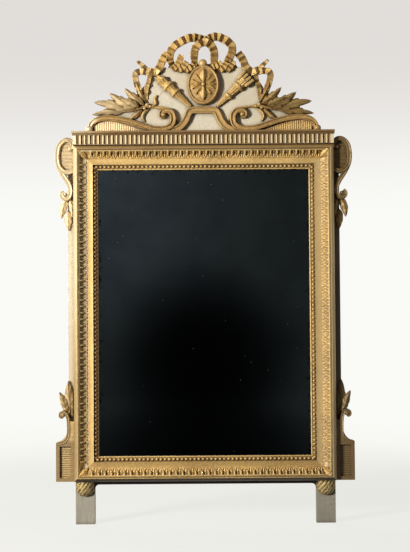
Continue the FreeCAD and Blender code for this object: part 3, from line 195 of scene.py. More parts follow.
def giltPaint(name, look, zone=None, shadeAndTone=None):
    grain = giltGrain
    paint = Paint(name)
    place = paint.place()
    patch = paint.noise(place, *grain["patch"])
    fine = paint.noise(place, *grain["fine"])
    speck = paint.noise(place, *grain["speck"])
    shallow = paint.hollow(look["hollow"])
    deep = shallow.between(*grain["dirtShadeSpan"])
    colour = paint.blend(patch.between(*grain["patchSpan"]), tone(look["dull"]), tone(look["mid"]))
    colour = paint.blend(fine.between(*grain["fineSpan"]) * grain["fineShare"], colour, tone(look["bright"]))
    rubbed = (paint.noise(place, *grain["rub"]).between(*grain["rubSpan"]) * look["wear"]).least(1.0)
    colour = paint.blend(rubbed, colour, tone(look["bole"]))
    # painted highlight: the open high points are lightened towards the bright gold
    crown = shallow.between(*grain["crownSpan"]) * look["crown"]
    colour = paint.blend(crown, colour, tone(look["bright"]))
    across, _, up = paint.parts(place)
    # painted light: the upper left of the object lightened, as if lit by the lamp on the left
    near, far, share = look["leftLightSpread"]
    leftLight = (across * -1.0).between(near, far) * up.between(*grain["upperSpan"]) * share
    colour = paint.blend(leftLight, colour, tone(look["leftLight"]))
    # painted shade: the right side darkened, away from the lamp
    near, far, share = look["rightShadeSpread"]
    colour = paint.blend(across.between(near, far) * share, colour, tone(look["rightShadeTint"]))
    # painted light and shade masks with their tints, and a few plain tone marks
    for share, code in (shadeAndTone(paint, place) if shadeAndTone else ()):
        colour = paint.blend(share, colour, tone(code))
    if zone:
        deep = deep * zone(paint, place)
    # the hollows take the dark tone: partly real dirt, partly painted shade where light is blocked
    colour = paint.blend(deep, tone(look["dirtAndShade"]), colour)
    rough = look["rough"] + grain["speckRough"] * speck + grain["dirtRough"] * (1.0 - deep)
    rough = rough + grain["rubRough"] * rubbed
    least = grain["dirtMetal"]
    metal = look["metal"] * (1.0 - grain["rubMetal"] * rubbed) * (least + (1.0 - least) * deep)
    relief = paint.bump(fine * grain["fineBump"] + speck * grain["speckBump"], *grain["bump"])
    return paint.surface(Base_Color=colour, Roughness=rough, Metallic=metal, Normal=relief)


def frameInsets(paint, place):
    across, _, up = paint.parts(place)
    return mouldHigh.x - abs(across), up - mouldLow.z, mouldHigh.z - up


# Insets from the outer edge of the moulding, in metres
mouldZones = {
    "pit": (0.0158, 0.0168, 0.0205, 0.0250), "quirk": (0.0098, 0.0106, 0.0122, 0.0128), "quirkShare": 0.85,
    "pitLeft": 0.2, "pitGain": 0.3, "pitSide": (-0.27, -0.25), "outer": (0.0075, 0.0095),
    "topBand": (0.0120, 0.0135), "low": (0.10, 0.52), "leaf": (0.0210, 0.0240, 0.0335, 0.0345),
    "flat": (0.0345, 0.0355), "middle": (-0.01, 0.01), "rim": (0.0, 0.0005),
}
# Painted light and shade on the moulding, by side: painted shade on the bottom rail's flat, the top band under
# the frieze, the outer edge underneath and the left rail's flat; painted light on the left rail's leaf slope and
# on the right rail. The outer edge is also darker towards the bottom.
edgeTones = {
    "bottom": (0.3, "#8E6C3A"), "low": (0.6, "#86724E"), "topBand": (0.6, "#8A693D"),
    "under": (0.95, "#2C1F10"), "leaf": (0.8, "#F6E2B8"), "flat": (0.35, "#9C7838"),
    "right": (0.35, "#F4DEB0"),
}


def toned(mask, tint):
    share, code = tint
    return mask * share, code


# painted shade: darkens the pits of the leaf course and the quirk groove, less on the left rail
def pitQuirkShade(paint, place):
    zones = mouldZones
    besides, below, above = frameInsets(paint, place)
    inset = besides.least(below).least(above)
    pit = inset.inside(*zones["pit"])
    quirk = inset.inside(*zones["quirk"])
    across, _, _ = paint.parts(place)
    pit = pit * (zones["pitLeft"] + zones["pitGain"] * across.between(*zones["pitSide"]))
    return 1.0 - pit.most(zones["quirkShare"] * quirk)


def edgeLightShade(paint, place):
    zones = mouldZones
    besides, below, above = frameInsets(paint, place)
    nearest = besides.least(below).least(above)
    outer = 1.0 - nearest.between(*zones["outer"])
    across, _, _ = paint.parts(place)
    upright = below.least(above).beyond(besides)
    left = upright * (1.0 - across.between(*zones["middle"]))
    masks = {
        "bottom": besides.least(above).beyond(below) * below.between(*zones["flat"]),
        "low": (1.0 - below.between(*zones["low"])) * outer,
        "topBand": besides.beyond(above) * (1.0 - above.between(*zones["topBand"])),
        "under": besides.beyond(below) * outer,
        "leaf": left * besides.inside(*zones["leaf"]),
        "flat": left * besides.between(*zones["flat"]),
        "right": (upright - left) * besides.between(*zones["rim"]),
    }
    return [toned(masks[name], tint) for name, tint in edgeTones.items()]


# Painted highlight on the flat fillets of the frieze, painted shade in the sunk flutes, and a darker band along
# the top and bottom
fluteTones = {
    "sunk": (0.0001, 0.0005), "margin": (0.0012, 0.0018), "fillet": (0.85, "#FBE6BC"),
    "flute": (0.95, "#745A2C"), "edge": (0.9, "#86663C"),
}


def fluteShading(paint, place):
    tones = fluteTones
    _, ahead, up = paint.parts(place)
    low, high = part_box("frieze")
    sunk = (ahead - low.y).between(*tones["sunk"])
    foot = 1.0 - (up - low.z).between(*tones["margin"])
    head = 1.0 - (high.z - up).between(*tones["margin"])
    margin = foot.most(head)
    return toned(1.0 - sunk, tones["fillet"]), toned(sunk, tones["flute"]), toned(margin, tones["edge"])


# Painted shade on the sight slip: the ground between the pearls darkened, more on the left rail and less on the
# right, the left rail's lip darkened as the pearls' shadow, and the whole left rail darker
slipTones = {
    "raised": (0.0002, 0.0008), "side": (0.245, 0.25), "shade": 0.55, "leftShade": 0.35, "rightShade": 0.25,
    "ground": "#4A2B08", "lipInset": (0.0565, 0.0570), "lip": (0.8, "#3A2408"), "left": (0.7, "#6A4A20"),
}


def slipShading(paint, place):
    tones = slipTones
    across, ahead, _ = paint.parts(place)
    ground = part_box("moulding_left")[1].y - slipLook["ground"] * mm
    raised = (ground - ahead).between(*tones["raised"])
    shade = tones["shade"] + tones["leftShade"] * (across * -1.0).between(*tones["side"])
    shade = shade - tones["rightShade"] * across.between(*tones["side"])
    besides, below, above = frameInsets(paint, place)
    left = below.least(above).beyond(besides) * (1.0 - across.between(*mouldZones["middle"]))
    lip = left * besides.between(*tones["lipInset"])
    return ((1.0 - raised) * shade, tones["ground"]), toned(lip, tones["lip"]), toned(left, tones["left"])


# Shoulder panel: a darker border, and painted shade in the grooves between the reeds of the sunk panel
shoulderTones = {
    "height": 93, "reed": 5.3, "sunk": (0.002, 0.004), "low": (0.12, 0.28), "high": (0.72, 0.88),
    "top": (0.045, 0.055), "border": (0.65, "#755C3C"), "groove": (0.75, "#4A3416"),
}


def shoulderToneShade(paint, place):
    tones = shoulderTones
    _, ahead, up = paint.parts(place)
    low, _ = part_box("shoulder_left")
    middle = low.z + tones["height"] * mm / 2
    sunk = (ahead - low.y).between(*tones["sunk"])
    phase = ((up - middle) / (tones["reed"] * mm) + 0.5).fraction()
    groove = (1.0 - phase.between(*tones["low"])).most(phase.between(*tones["high"]))
    border = (1.0 - sunk) * (1.0 - up.between(*(middle + level for level in tones["top"])))
    return toned(border, tones["border"]), toned(sunk * groove, tones["groove"])


# Painted highlight: bright slanting lines along the gadroon ridges of the foot caps
capTones = {"slant": 0.75, "pitch": 0.0095, "line": (0.0, 0.10, 0.20, 0.34), "bright": (0.85, "#EBCF8C")}


def capRidgeHighlights(paint, place):
    tones = capTones
    across, _, up = paint.parts(place)
    phase = ((across - up * tones["slant"]) / tones["pitch"]).fraction()
    return (toned(phase.inside(*tones["line"]), tones["bright"]),)


# painted shade read from the shade attribute: pleat sides turned from the light, leaf bases and leaf rims
foldTone = (0.66, "#5E4016")


def foldShading(paint, place):
    shade = paint.node("ShaderNodeAttribute", {"attribute_name": "shade"}, out="Fac")
    return (toned(shade, foldTone),)


# Painted shade over the cornice, lighter towards its left end
corniceTone = {"least": 0.45, "gain": 0.35, "span": (-0.95, -0.6), "dark": "#6E4E2C"}


def corniceShading(paint, place):
    across, _, _ = paint.parts(place)
    dark = corniceTone["least"] + corniceTone["gain"] * (across / mouldHigh.x).between(*corniceTone["span"])
    return ((dark, corniceTone["dark"]),)


# Cream distemper paint, crazed and chipped
creamLook = {"pale": "#E4DCC7", "warm": "#D6CAAE", "chip": "#8B7A5C", "dirtAndShade": "#5B4C36"}
creamGrain = {
    "patch": (11.0, 5.0, 0.6), "fine": (160.0, 4.0, 0.6), "brush": (160.0, 160.0, 14.0),
    "strokes": (1.0, 2.0), "crack": 95.0, "chip": (62.0, 6.0, 0.7), "hollow": 0.014,
    "patchSpan": (0.35, 0.68), "crackSpan": (0.0, 0.035), "crazedSpan": (0.48, 0.62), "chipSpan": (0.69, 0.73),
    "dirtShadeSpan": (0.25, 0.95), "dirtShadeShare": 0.8,
    "brushSpan": (0.35, 0.7), "brushShare": 0.25, "crazedShare": 0.5, "footBelow": (0.012, 0.008),
    "brushBump": 0.4, "fineBump": 0.4, "chipBump": 0.6, "crazedBump": 0.4, "bump": (0.30, 0.0008),
    "rough": 0.50, "fineRough": 0.25,
}


def creamPaint(name, look, foot=None):
    grain = creamGrain
    paint = Paint(name)
    place = paint.place()
    patch = paint.noise(place, *grain["patch"])
    fine = paint.noise(place, *grain["fine"])
    brush = paint.noise(paint.stretched(place, grain["brush"]), *grain["strokes"])
    crack = paint.cells(place, grain["crack"], "DISTANCE_TO_EDGE")
    crazed = (1.0 - crack.between(*grain["crackSpan"])) * patch.between(*grain["crazedSpan"])
    chip = paint.noise(place, *grain["chip"]).between(*grain["chipSpan"])
    deep = paint.hollow(grain["hollow"]).between(*grain["dirtShadeSpan"])
    cloudy = patch.between(*grain["patchSpan"])
    colour = paint.blend(cloudy, tone(look["warm"]), tone(look["pale"]))
    if foot:  # the bare foot under the moulding has its own pale and dark
        _, _, up = paint.parts(place)
        sole = paint.blend(cloudy, tone(foot[1]), tone(foot[0]))
        near, far = (mouldLow.z - below for below in grain["footBelow"])
        colour = paint.blend(up.between(near, far), sole, colour)
    brushed = brush.between(*grain["brushSpan"]) * grain["brushShare"]
    colour = paint.blend(brushed, colour, tone(look["warm"]))
    colour = paint.blend(crazed * grain["crazedShare"], colour, tone(look["dirtAndShade"]))
    colour = paint.blend(chip, colour, tone(look["chip"]))
    # hollows darkened through the ambient-occlusion mask: partly dirt, partly painted shade
    unshadedClean = deep * grain["dirtShadeShare"] + (1.0 - grain["dirtShadeShare"])
    colour = paint.blend(unshadedClean, tone(look["dirtAndShade"]), colour)
    height = brush * grain["brushBump"] + fine * grain["fineBump"]
    height = height - chip * grain["chipBump"] - crazed * grain["crazedBump"]
    relief = paint.bump(height, *grain["bump"])
    rough = grain["rough"] + grain["fineRough"] * fine
    return paint.surface(Base_Color=colour, Roughness=rough, Normal=relief)


# Planed softwood, darkened with age
woodLook = {"pale": "#8A6742", "dark": "#4F351D", "pore": "#2E1E10"}
woodGrain = {
    "bend": (5.0, 2.0), "ring": (1.0, 3.0, 0.5), "streak": (4.5, 2.0, 0.6), "ringSpan": (0.35, 0.65),
    "poreSpan": (0.58, 0.70), "poreShare": 0.7, "bendSpan": (0.5, 0.7), "bendShare": 0.35,
    "streakBump": 0.7, "ringBump": 0.3, "bump": (0.25, 0.0006), "rough": 0.62, "streakRough": 0.2,
}


def woodPaint(name, look, stretch):
    grain = woodGrain
    paint = Paint(name)
    place = paint.place()
    bend = paint.noise(place, *grain["bend"])
    drawn = paint.stretched(place, stretch)
    ring = paint.noise(drawn, *grain["ring"])
    streak = paint.noise(drawn, *grain["streak"])
    colour = paint.blend(ring.between(*grain["ringSpan"]), tone(look["dark"]), tone(look["pale"]))
    pores = streak.between(*grain["poreSpan"]) * grain["poreShare"]
    colour = paint.blend(pores, colour, tone(look["pore"]))
    colour = paint.blend(bend.between(*grain["bendSpan"]) * grain["bendShare"], colour, tone(look["dark"]))
    relief = paint.bump(streak * grain["streakBump"] + ring * grain["ringBump"], *grain["bump"])
    rough = grain["rough"] + grain["streakRough"] * streak
    return paint.surface(Base_Color=colour, Roughness=rough, Normal=relief)


# Old silvered glass with haze and foxing
glassLook = {
    "silver": "#8D9498", "fox": "#15130F", "haze": "#4A5560", "mark": "#C9CCCB",
    "cloud": (6.0, 5.0, 0.6), "spot": (85.0, 3.0, 0.6), "prick": 48.0, "edgeSpan": (0.009, 0.024),
    "foxSpan": (0.52, 0.66), "prickSpan": (0.03, 0.07), "markSpan": (0.40, 0.52), "hazeSpan": (0.35, 0.75),
    "hazeShare": 0.5, "markShare": 0.6, "rough": 0.04, "cloudRough": 0.05, "cloudSpan": (0.45, 0.8),
    "foxRough": 0.15, "markRough": 0.25,
}


def mirrorPaint(name, look):
    paint = Paint(name)
    place = paint.place()
    low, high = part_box("mirror_plate")
    across, _, up = paint.parts(place)
    edge = (abs(across) * -1.0 + high.x).least(up - low.z).least(high.z - up)
    cloud = paint.noise(place, *look["cloud"])
    spot = paint.noise(place, *look["spot"])
    prick = paint.cells(place, look["prick"])
    foxed = (1.0 - edge.between(*look["edgeSpan"])) * spot.between(*look["foxSpan"])
    mark = (1.0 - prick.between(*look["prickSpan"])) * cloud.between(*look["markSpan"])
    hazy = cloud.between(*look["hazeSpan"]) * look["hazeShare"]
    colour = paint.blend(hazy, tone(look["silver"]), tone(look["haze"]))
    colour = paint.blend(foxed.least(1.0), colour, tone(look["fox"]))
    colour = paint.blend(mark * look["markShare"], colour, tone(look["mark"]))
    rough = look["rough"] + look["cloudRough"] * cloud.between(*look["cloudSpan"])
    rough = rough + look["foxRough"] * foxed + look["markRough"] * mark
    return paint.surface(Base_Color=colour, Roughness=rough, Metallic=1.0)


# Forged iron with some rust
ironLook = {
    "steel": "#4A4744", "rust": "#5E3A22", "scale": "#1F1C1A", "fine": (240.0, 4.0, 0.65),
    "patch": (70.0, 3.0, 0.6), "rustSpan": (0.52, 0.68), "fineSpan": (0.4, 0.7), "rustShare": 0.8,
    "bump": (0.35, 0.0004),
    "rough": 0.45, "rustRough": 0.4, "metal": 0.9, "rustMetal": 0.7,
}


def ironPaint(name, look):
    paint = Paint(name)
    place = paint.place()
    fine = paint.noise(place, *look["fine"])
    rust = paint.noise(place, *look["patch"]).between(*look["rustSpan"])
    colour = paint.blend(fine.between(*look["fineSpan"]), tone(look["scale"]), tone(look["steel"]))
    colour = paint.blend(rust * look["rustShare"], colour, tone(look["rust"]))
    relief = paint.bump(fine, *look["bump"])
    rough = look["rough"] + look["rustRough"] * rust
    metal = look["metal"] - look["rustMetal"] * rust
    return paint.surface(Base_Color=colour, Roughness=rough, Metallic=metal, Normal=relief)


# Outer corners of the moulding, then the finishes of the pieces
mouldLow = Vector((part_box("moulding_left")[0].x, 0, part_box("moulding_bottom")[0].z))
mouldHigh = Vector((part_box("moulding_right")[1].x, 0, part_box("moulding_top")[1].z))
gilt = giltPaint("gilt", giltLook)
giltMould = giltPaint("giltMould", giltLook, pitQuirkShade, edgeLightShade)
friezeLook = {**giltLook, "hollow": 0.004, "leftLightSpread": (0.12, 0.33, 0.35)}
giltFrieze = giltPaint("giltFrieze", friezeLook, None, fluteShading)
giltCornice = giltPaint("giltCornice", {**giltLook, "leftLightSpread": (0.22, 0.32, 0.7)}, None, corniceShading)
crestLook = {**giltLook, "hollow": 0.014, "leftLightSpread": (0.10, 0.24, 0.52), "rightShadeSpread": (0.04, 0.22, 0.35)}
giltCrest = giltPaint("giltCrest", crestLook)
giltRibbon = giltPaint("giltRibbon", crestLook, None, foldShading)
# duller gilt for ears, shoulders and caps, with a stronger painted shade on the right side
wornShadedLook = {
    **giltLook, "bright": "#E0C38A", "mid": "#C5A163", "dull": "#9A7D4E", "rightShadeSpread": (0.3148, 0.318, 0.72)}
giltWornShaded = giltPaint("giltWornShaded", wornShadedLook, None, edgeLightShade)
# leaf-course bars: brighter gold and a strong painted highlight on their crowns
courseGilt = {**giltLook, "bright": "#F4DDA2", "crown": 0.6, "leftLightSpread": (0.262, 0.272, 0.5)}
giltCourse = giltPaint("giltCourse", courseGilt)
capGilt = {
    **wornShadedLook, "bright": "#EBCF8C", "mid": "#5C4420", "dull": "#493415", "hollow": 0.006, "crown": 0.1}
giltCap = giltPaint("giltCap", capGilt, None, capRidgeHighlights)
giltShoulder = giltPaint("giltShoulder", {**wornShadedLook, "hollow": 0.005}, None, shoulderToneShade)
dullLook = {
    **giltLook, "bright": "#D2AF72", "mid": "#B08C50", "dull": "#8E6E3C", "leftLightSpread": (0.25, 0.268, 0.85)}
giltDull = giltPaint("giltDull", dullLook)
cream = creamPaint("cream", creamLook)
footTones = ("#A19C8E", "#8F8A7B")
footCream = creamPaint("footCream", {**creamLook, "pale": "#E3D8C0", "warm": "#D2C5A8"}, footTones)
# the right stile's cream darkened as painted shade, for the moulding's shadow it sits in
footShade = creamPaint("footShade", {**creamLook, "pale": "#94825F", "warm": "#7E6D4C"}, footTones)
grainStretch = {"upright": (60.0, 60.0, 4.0), "across": (4.0, 60.0, 60.0), "dark": (5.0, 60.0, 60.0)}
softwood = woodPaint("softwood", woodLook, grainStretch["upright"])
softwoodAcross = woodPaint("softwoodAcross", woodLook, grainStretch["across"])
# near-black wood for the bottom rail and the bow backing, darkened as painted shade for these recessed boards
darkWoodShadeLook = {"pale": "#3B2817", "dark": "#22160C", "pore": "#140D07"}
darkWoodShade = woodPaint("darkWoodShade", darkWoodShadeLook, grainStretch["dark"])
mirror = mirrorPaint("mirror", glassLook)
iron = ironPaint("iron", ironLook)
print("stage 1: materials")

cadPaint = {
    "stile_left": footCream, "stile_right": footShade, "bottom_rail": darkWoodShade, "pediment_board": cream,
    "top_rail": softwoodAcross, "joint_pegs": softwood, "glazing_blocks": softwood,
    "backboard_lower": softwoodAcross, "backboard_middle": softwoodAcross, "backboard_upper": softwoodAcross,
    "crest_batten_left": softwood, "crest_batten_right": softwood, "bow_backing": darkWoodShade,
    "mirror_plate": mirror, "frieze": giltFrieze, "cornice": giltCornice, "pediment_panel_left": giltCrest,
    "pediment_panel_right": giltCrest,
}
ironNodes = ("backboard_nails", "crest_screws", "hanger_screws", "hanger_strap", "hanging_ring")
for name, node in nodes.items():
    if name.startswith(ironNodes):
        paint = iron
    elif name.startswith("moulding"):
        paint = giltMould
    else:
        paint = cadPaint.get(name, gilt)
    node.data.materials.clear()
    node.data.materials.append(paint)


# Geometry helpers
mergeGap = 0.00002


def finishPiece(name, mesh, paint, replaced=(), angle=42):
    bmesh.ops.remove_doubles(mesh, verts=mesh.verts, dist=mergeGap)
    bmesh.ops.recalc_face_normals(mesh, faces=mesh.faces)
    data = bpy.data.meshes.new(name)
    mesh.to_mesh(data)
    mesh.free()
    data.polygons.foreach_set("use_smooth", [True] * len(data.polygons))
    data.set_sharp_from_angle(angle=math.radians(angle))
    data.materials.append(paint)
    piece = bpy.data.objects.new(name, data)
    bpy.context.scene.collection.objects.link(piece)
    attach(piece, "frame")
    if replaced:
        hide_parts(*replaced)


def grownVerts(geom):
    return [item for item in geom if isinstance(item, bmesh.types.BMVert)]


def grownEdges(geom, verts):
    chosen = set(verts)
    return [item for item in geom if isinstance(item, bmesh.types.BMEdge) and set(item.verts) <= chosen]


def reshape(mesh, matrix, verts):
    bmesh.ops.transform(mesh, matrix=matrix, space=Matrix.Identity(4), verts=verts)


def axes(*columns):
    place = Matrix.Identity(4)
    for index, column in enumerate(columns):
        place.col[index][:3] = column
    return place


# Smooth curve through the points, in steps of about the given length
def smoothLine(points, step):
    ends = [points[0] * 2 - points[1], *points, points[-1] * 2 - points[-2]]
    line = [points[0].copy()]
    for index in range(1, len(ends) - 2):
        first, second, third, fourth = ends[index - 1:index + 3]
        count = max(2, math.ceil((third - second).length / step))
        for part in range(1, count + 1):
            t = part / count
            line.append(0.5 * (
                2 * second + (third - first) * t + (2 * first - 5 * second + 4 * third - fourth) * t * t
                + (3 * second - first - 3 * third + fourth) * t ** 3))
    return line


def distances(line):
    far = [0.0]
    for first, second in zip(line, line[1:]):
        far.append(far[-1] + (second - first).length)
    return far


def sweepBand(mesh, line, section, widths, heights, faces=None, closed=True):
    stations = []
    for index, point in enumerate(line):
        way = (line[min(index + 1, len(line) - 1)] - line[max(index - 1, 0)]).normalized()
        face = faces[index] if faces else front
        across = way.cross(face).normalized()
        stations.append(axes(across * widths[index], face * heights[index], way, point))
    loop = [mesh.verts.new(stations[0] @ Vector((wide, high, 0))) for wide, high in section]
    pairs = list(zip(loop, loop[1:])) + ([(loop[-1], loop[0])] if closed else [])
    edges = [mesh.edges.new(pair) for pair in pairs]
    made = list(loop)
    if closed:
        bmesh.ops.contextual_create(mesh, geom=edges)
    for before, after in zip(stations, stations[1:]):
        grown = bmesh.ops.extrude_edge_only(mesh, edges=edges)["geom"]
        verts = grownVerts(grown)
        edges = grownEdges(grown, verts)
        reshape(mesh, after @ before.inverted(), verts)
        made += verts
    if closed:
        bmesh.ops.contextual_create(mesh, geom=edges)
    return made


# Sections as shares of width and depth
ribbonSection = (
    (-0.5, 0), (-0.5, 0.78), (-0.42, 0.98), (-0.3, 0.9), (0, 0.8), (0.3, 0.9), (0.42, 0.98), (0.5, 0.78),
    (0.5, 0))
scrollSection = (
    (-0.5, 0), (-0.5, 0.84), (-0.44, 0.97), (-0.36, 1), (-0.28, 0.94), (-0.2, 0.78), (0, 0.72), (0.2, 0.78),
    (0.28, 0.94), (0.36, 1), (0.44, 0.97), (0.5, 0.84), (0.5, 0))
bandSection = (
    (-0.5, 0), (-0.5, 0.78), (-0.43, 0.94), (-0.3, 1), (0, 0.92), (0.3, 1), (0.43, 0.94), (0.5, 0.78),
    (0.5, 0))
stemSection = ((-0.5, 0), (-0.48, 0.45), (-0.32, 0.82), (0, 1), (0.32, 0.82), (0.48, 0.45), (0.5, 0))
ridgeSection = ((-0.5, -0.3), (-0.3, 0.72), (0, 1), (0.3, 0.72), (0.5, -0.3))


def taper(share, start, end):
    if share < start[0]:
        return start[1] + (1 - start[1]) * share / start[0]
    if share > 1 - end[0]:
        return end[1] + (1 - end[1]) * (1 - share) / end[0]
    return 1


# Pleats widen the band a little where they sink, and shade the side turned from the light
pleatForm = {"widen": 0.10, "endDepth": 0.4, "wander": 21, "shade": 0.15, "shadeUp": 0.35}


def band(mesh, points, look, section):
    form = pleatForm
    line = smoothLine(points, look["step"] * mm)
    far = distances(line)
    pleat, rising = look.get("pleat", 0), look.get("rising", 0.5)
    widths, heights, shades = [], [], []
    for index, distance in enumerate(far):
        share = distance / far[-1]
        ends = taper(share, look.get("start", (0.1, 1)), look.get("end", (0.1, 1)))
        uneven = distance + look.get("uneven", 0) * mm * math.sin(distance / (form["wander"] * mm))
        phase = uneven / (look.get("pitch", 10) * mm) % 1
        fold = phase / rising if phase < rising else (1 - phase) / (1 - rising)
        widths.append(look["width"] * mm * ends * (1 + form["widen"] * pleat * fold))
        thin = form["endDepth"] + (1 - form["endDepth"]) * ends
        heights.append(look["depth"] * mm * thin * (1 - pleat * fold))
        way = line[min(index + 1, len(line) - 1)] - line[max(index - 1, 0)]
        facing = (way if phase < rising else -way).normalized()
        shades.append(min(1.0, max(0.0, form["shade"] + facing.x - form["shadeUp"] * facing.z)))
    made = sweepBand(mesh, line, section, widths, heights)
    layer = mesh.verts.layers.float.get("shade")
    if layer and pleat:
        for place, vert in enumerate(made):
            vert[layer] = shades[place // len(section)]


def ball(mesh, place, radius, stretch=(1, 1, 1), detail=2):
    scale = Matrix.Diagonal((*stretch, 1))
    bmesh.ops.create_icosphere(
        mesh, subdivisions=detail, radius=radius * mm, matrix=Matrix.Translation(place) @ scale)


leafForm = {
    "cellsAlong": 30, "cellsAcross": 10, "lobes": 5, "tooth": 0.3, "toothEnds": (3, 6), "rise": 0,
    "belly": 0.75, "fullness": 0.8, "stalk": 0.24, "rib": (0.20, 0.14), "vein": 0.11,
    "veinSlant": 0.55, "veinGain": 2.5, "cup": (0.55, 0.35), "droop": 0.4, "curl": 0.15, "curlFrom": 0.7,
    "footShade": (0.9, 0.5), "rimShade": 0.7,
}


def carvedLeaf(mesh, base, bend, tip, look):
    form = {**leafForm, **look}
    grid = bmesh.ops.create_grid(
        mesh, x_segments=form["cellsAlong"], y_segments=form["cellsAcross"], size=0.5)["verts"]
    back = max(base.y, tip.y)
    width, depth, rise = form["width"] * mm / 2, form["depth"] * mm, form["rise"] * mm
    lobes = form["lobes"]
    layer = mesh.verts.layers.float.get("shade")
    for vert in grid:
        along = vert.co.x + 0.5
        across = vert.co.y * 2
        point = base * (1 - along) ** 2 + bend * 2 * along * (1 - along) + tip * along ** 2
        way = ((bend - base) * (1 - along) + (tip - bend) * along).normalized()
        side = way.cross(front).normalized()
        body = math.sin(math.pi * min(1, along ** form["belly"])) ** form["fullness"]
        body = max(body, form["stalk"] * (1 - along))
        start, end = form["toothEnds"]
        saw = along * lobes % 1
        body *= 1 - form["tooth"] * (1 - saw) * min(1, along * start) * min(1, (1 - along) * end)
        ribHeight, ribWidth = form["rib"]
        rib = ribHeight * math.exp(-(across / ribWidth) ** 2)
        wave = math.cos(2 * math.pi * (along * lobes - form["veinSlant"] * abs(across)))
        vein = form["vein"] * wave * min(1, abs(across) * form["veinGain"])
        least, gain = form["cup"]
        cup = (least + gain * math.sin(math.pi * along)) * (1 - form["droop"] * across ** 2)
        curl = form["curl"] * max(0, along - form["curlFrom"]) / (1 - form["curlFrom"])
        vert.co = point + side * across * width * body + front * (rise + depth * (cup + rib + vein + curl))
        if layer:
            most, reach = form["footShade"]
            rim = (abs(across) - form["rimShade"]) / (1 - form["rimShade"])
            vert[layer] = min(1.0, max(most * (1 - along / reach), rim, 0.0))
    rim = [edge for edge in {edge for vert in grid for edge in vert.link_edges} if edge.is_boundary]
    grown = bmesh.ops.extrude_edge_only(mesh, edges=rim)["geom"]
    foot = grownVerts(grown)
    for vert in foot:
        vert.co.y = back
        if layer:
            vert[layer] = 1.0
    bmesh.ops.contextual_create(mesh, geom=grownEdges(grown, foot))


def leafTo(mesh, base, tip, look, bow=0.0):
    chord = tip - base
    bend = base + chord * 0.5 + chord.cross(front) * bow
    carvedLeaf(mesh, base, bend, tip, look)


# Leaves as base, tip, width, bow and rise, placed by the given function
def leafSpray(mesh, leaves, look, spot, side):
    for across, up, farAcross, farUp, wide, bow, rise in leaves:
        leaf = {**look, "width": wide, "rise": rise}
        leafTo(mesh, spot(side * across, up), spot(side * farAcross, farUp), leaf, side * bow)


def turned(mesh, profile, steps, place, flutes=(), squeeze=(1, 1), swell=1.0):
    # flutes are (low, high, count, depth, twist) over the length
    verts = [mesh.verts.new((wide * swell * mm, 0, up * mm)) for wide, up in profile]
    edges = [mesh.edges.new(pair) for pair in zip(verts, verts[1:])]
    bmesh.ops.spin(
        mesh, geom=verts + edges, cent=(0, 0, 0), axis=(0, 0, 1), angle=2 * math.pi, steps=steps,
        use_merge=True)
    shape = [vert for vert in mesh.verts if not vert.tag]
    for vert in shape:
        radius = math.hypot(vert.co.x, vert.co.y)
        turn = math.atan2(vert.co.y, vert.co.x)
        for low, high, count, depth, twist in flutes:
            up = vert.co.z / mm
            if low <= up <= high and radius > 0:
                wave = abs(math.sin(count / 2 * turn + twist * (up - low)))
                scale = (radius - depth * mm * (1 - wave)) / radius
                vert.co.x *= scale
                vert.co.y *= scale
        vert.co.x *= squeeze[0]
        vert.co.y *= squeeze[1]
    reshape(mesh, place, shape)
    for vert in shape:  # a later call leaves these alone
        vert.tag = True


def leaning(foot, head):
    up = (head - foot).normalized()
    across = front.cross(up).normalized()
    return axes(across, up.cross(across), up, foot)


# Runs along the four mouldings, in a frame of along, inward and forward
def runFrame(side):
    low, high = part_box("moulding_" + side)
    middle = (low + high) / 2
    flat = side in ("top", "bottom")
    along = Vector((1, 0, 0)) if flat else Vector((0, 0, 1))
    inward = {"top": (0, 0, -1), "bottom": (0, 0, 1), "left": (1, 0, 0), "right": (-1, 0, 0)}[side]
    origin = {
        "top": (middle.x, high.y, high.z), "bottom": (middle.x, high.y, low.z),
        "left": (low.x, high.y, middle.z), "right": (high.x, high.y, middle.z)}[side]
    half = (high.x - low.x) / 2 if flat else (high.z - low.z) / 2
    return axes(along, inward, front, origin), half


def mitred(mesh, outline, half):
    loop = [mesh.verts.new((inward * mm - half, inward * mm, high * mm)) for inward, high in outline]
    edges = [mesh.edges.new(pair) for pair in zip(loop, loop[1:] + loop[:1])]
    bmesh.ops.contextual_create(mesh, geom=edges)
    grown = bmesh.ops.extrude_edge_only(mesh, edges=edges)["geom"]
    verts = grownVerts(grown)
    reshape(mesh, Matrix.Scale(-1, 4, (1, 0, 0)), verts)
    bmesh.ops.contextual_create(mesh, geom=grownEdges(grown, verts))


# Leaf-and-dart course carved on the hollow slope of the moulding, with the fillet over it
# ridge paths as shares of the pitch and of the way down the slope
courseLook = {
    "pitch": 15.5, "centre": (31.96, 38.33), "radius": 20.33, "from": 201.1, "to": 270.1, "mitre": 33,
    "fillet": ((13, 27), (13, 31.4), (13.5, 31.9), (15.3, 31.9), (15.9, 31.3), (15.9, 24)),
    "ridges": (
        {"path": ((0, -0.02), (0, 0.12), (0, 0.36), (0, 0.58), (0, 0.74)),
         "widths": (6.4, 6.4, 6.0, 5.2, 3.2), "heights": (1.6, 4.4, 7.0, 6.0, 2.5)},
        {"path": ((0.03, 0.60), (0.14, 0.76), (0.30, 1.0)),
         "widths": (2.4, 3.4, 2.0), "heights": (2.6, 2.8, 0.9)},
        {"path": ((-0.03, 0.60), (-0.14, 0.76), (-0.30, 1.0)),
         "widths": (2.4, 3.4, 2.0), "heights": (2.6, 2.8, 0.9)},
        {"path": ((0.5, 0.16), (0.5, 0.36), (0.5, 0.54)),
         "widths": (1.6, 3.2, 2.4), "heights": (0.6, 1.8, 1.6)},
        {"path": ((0.5, 0.52), (0.5, 0.72), (0.5, 0.98)),
         "widths": (2.0, 5.6, 1.6), "heights": (1.4, 2.8, 0.8)}),
}


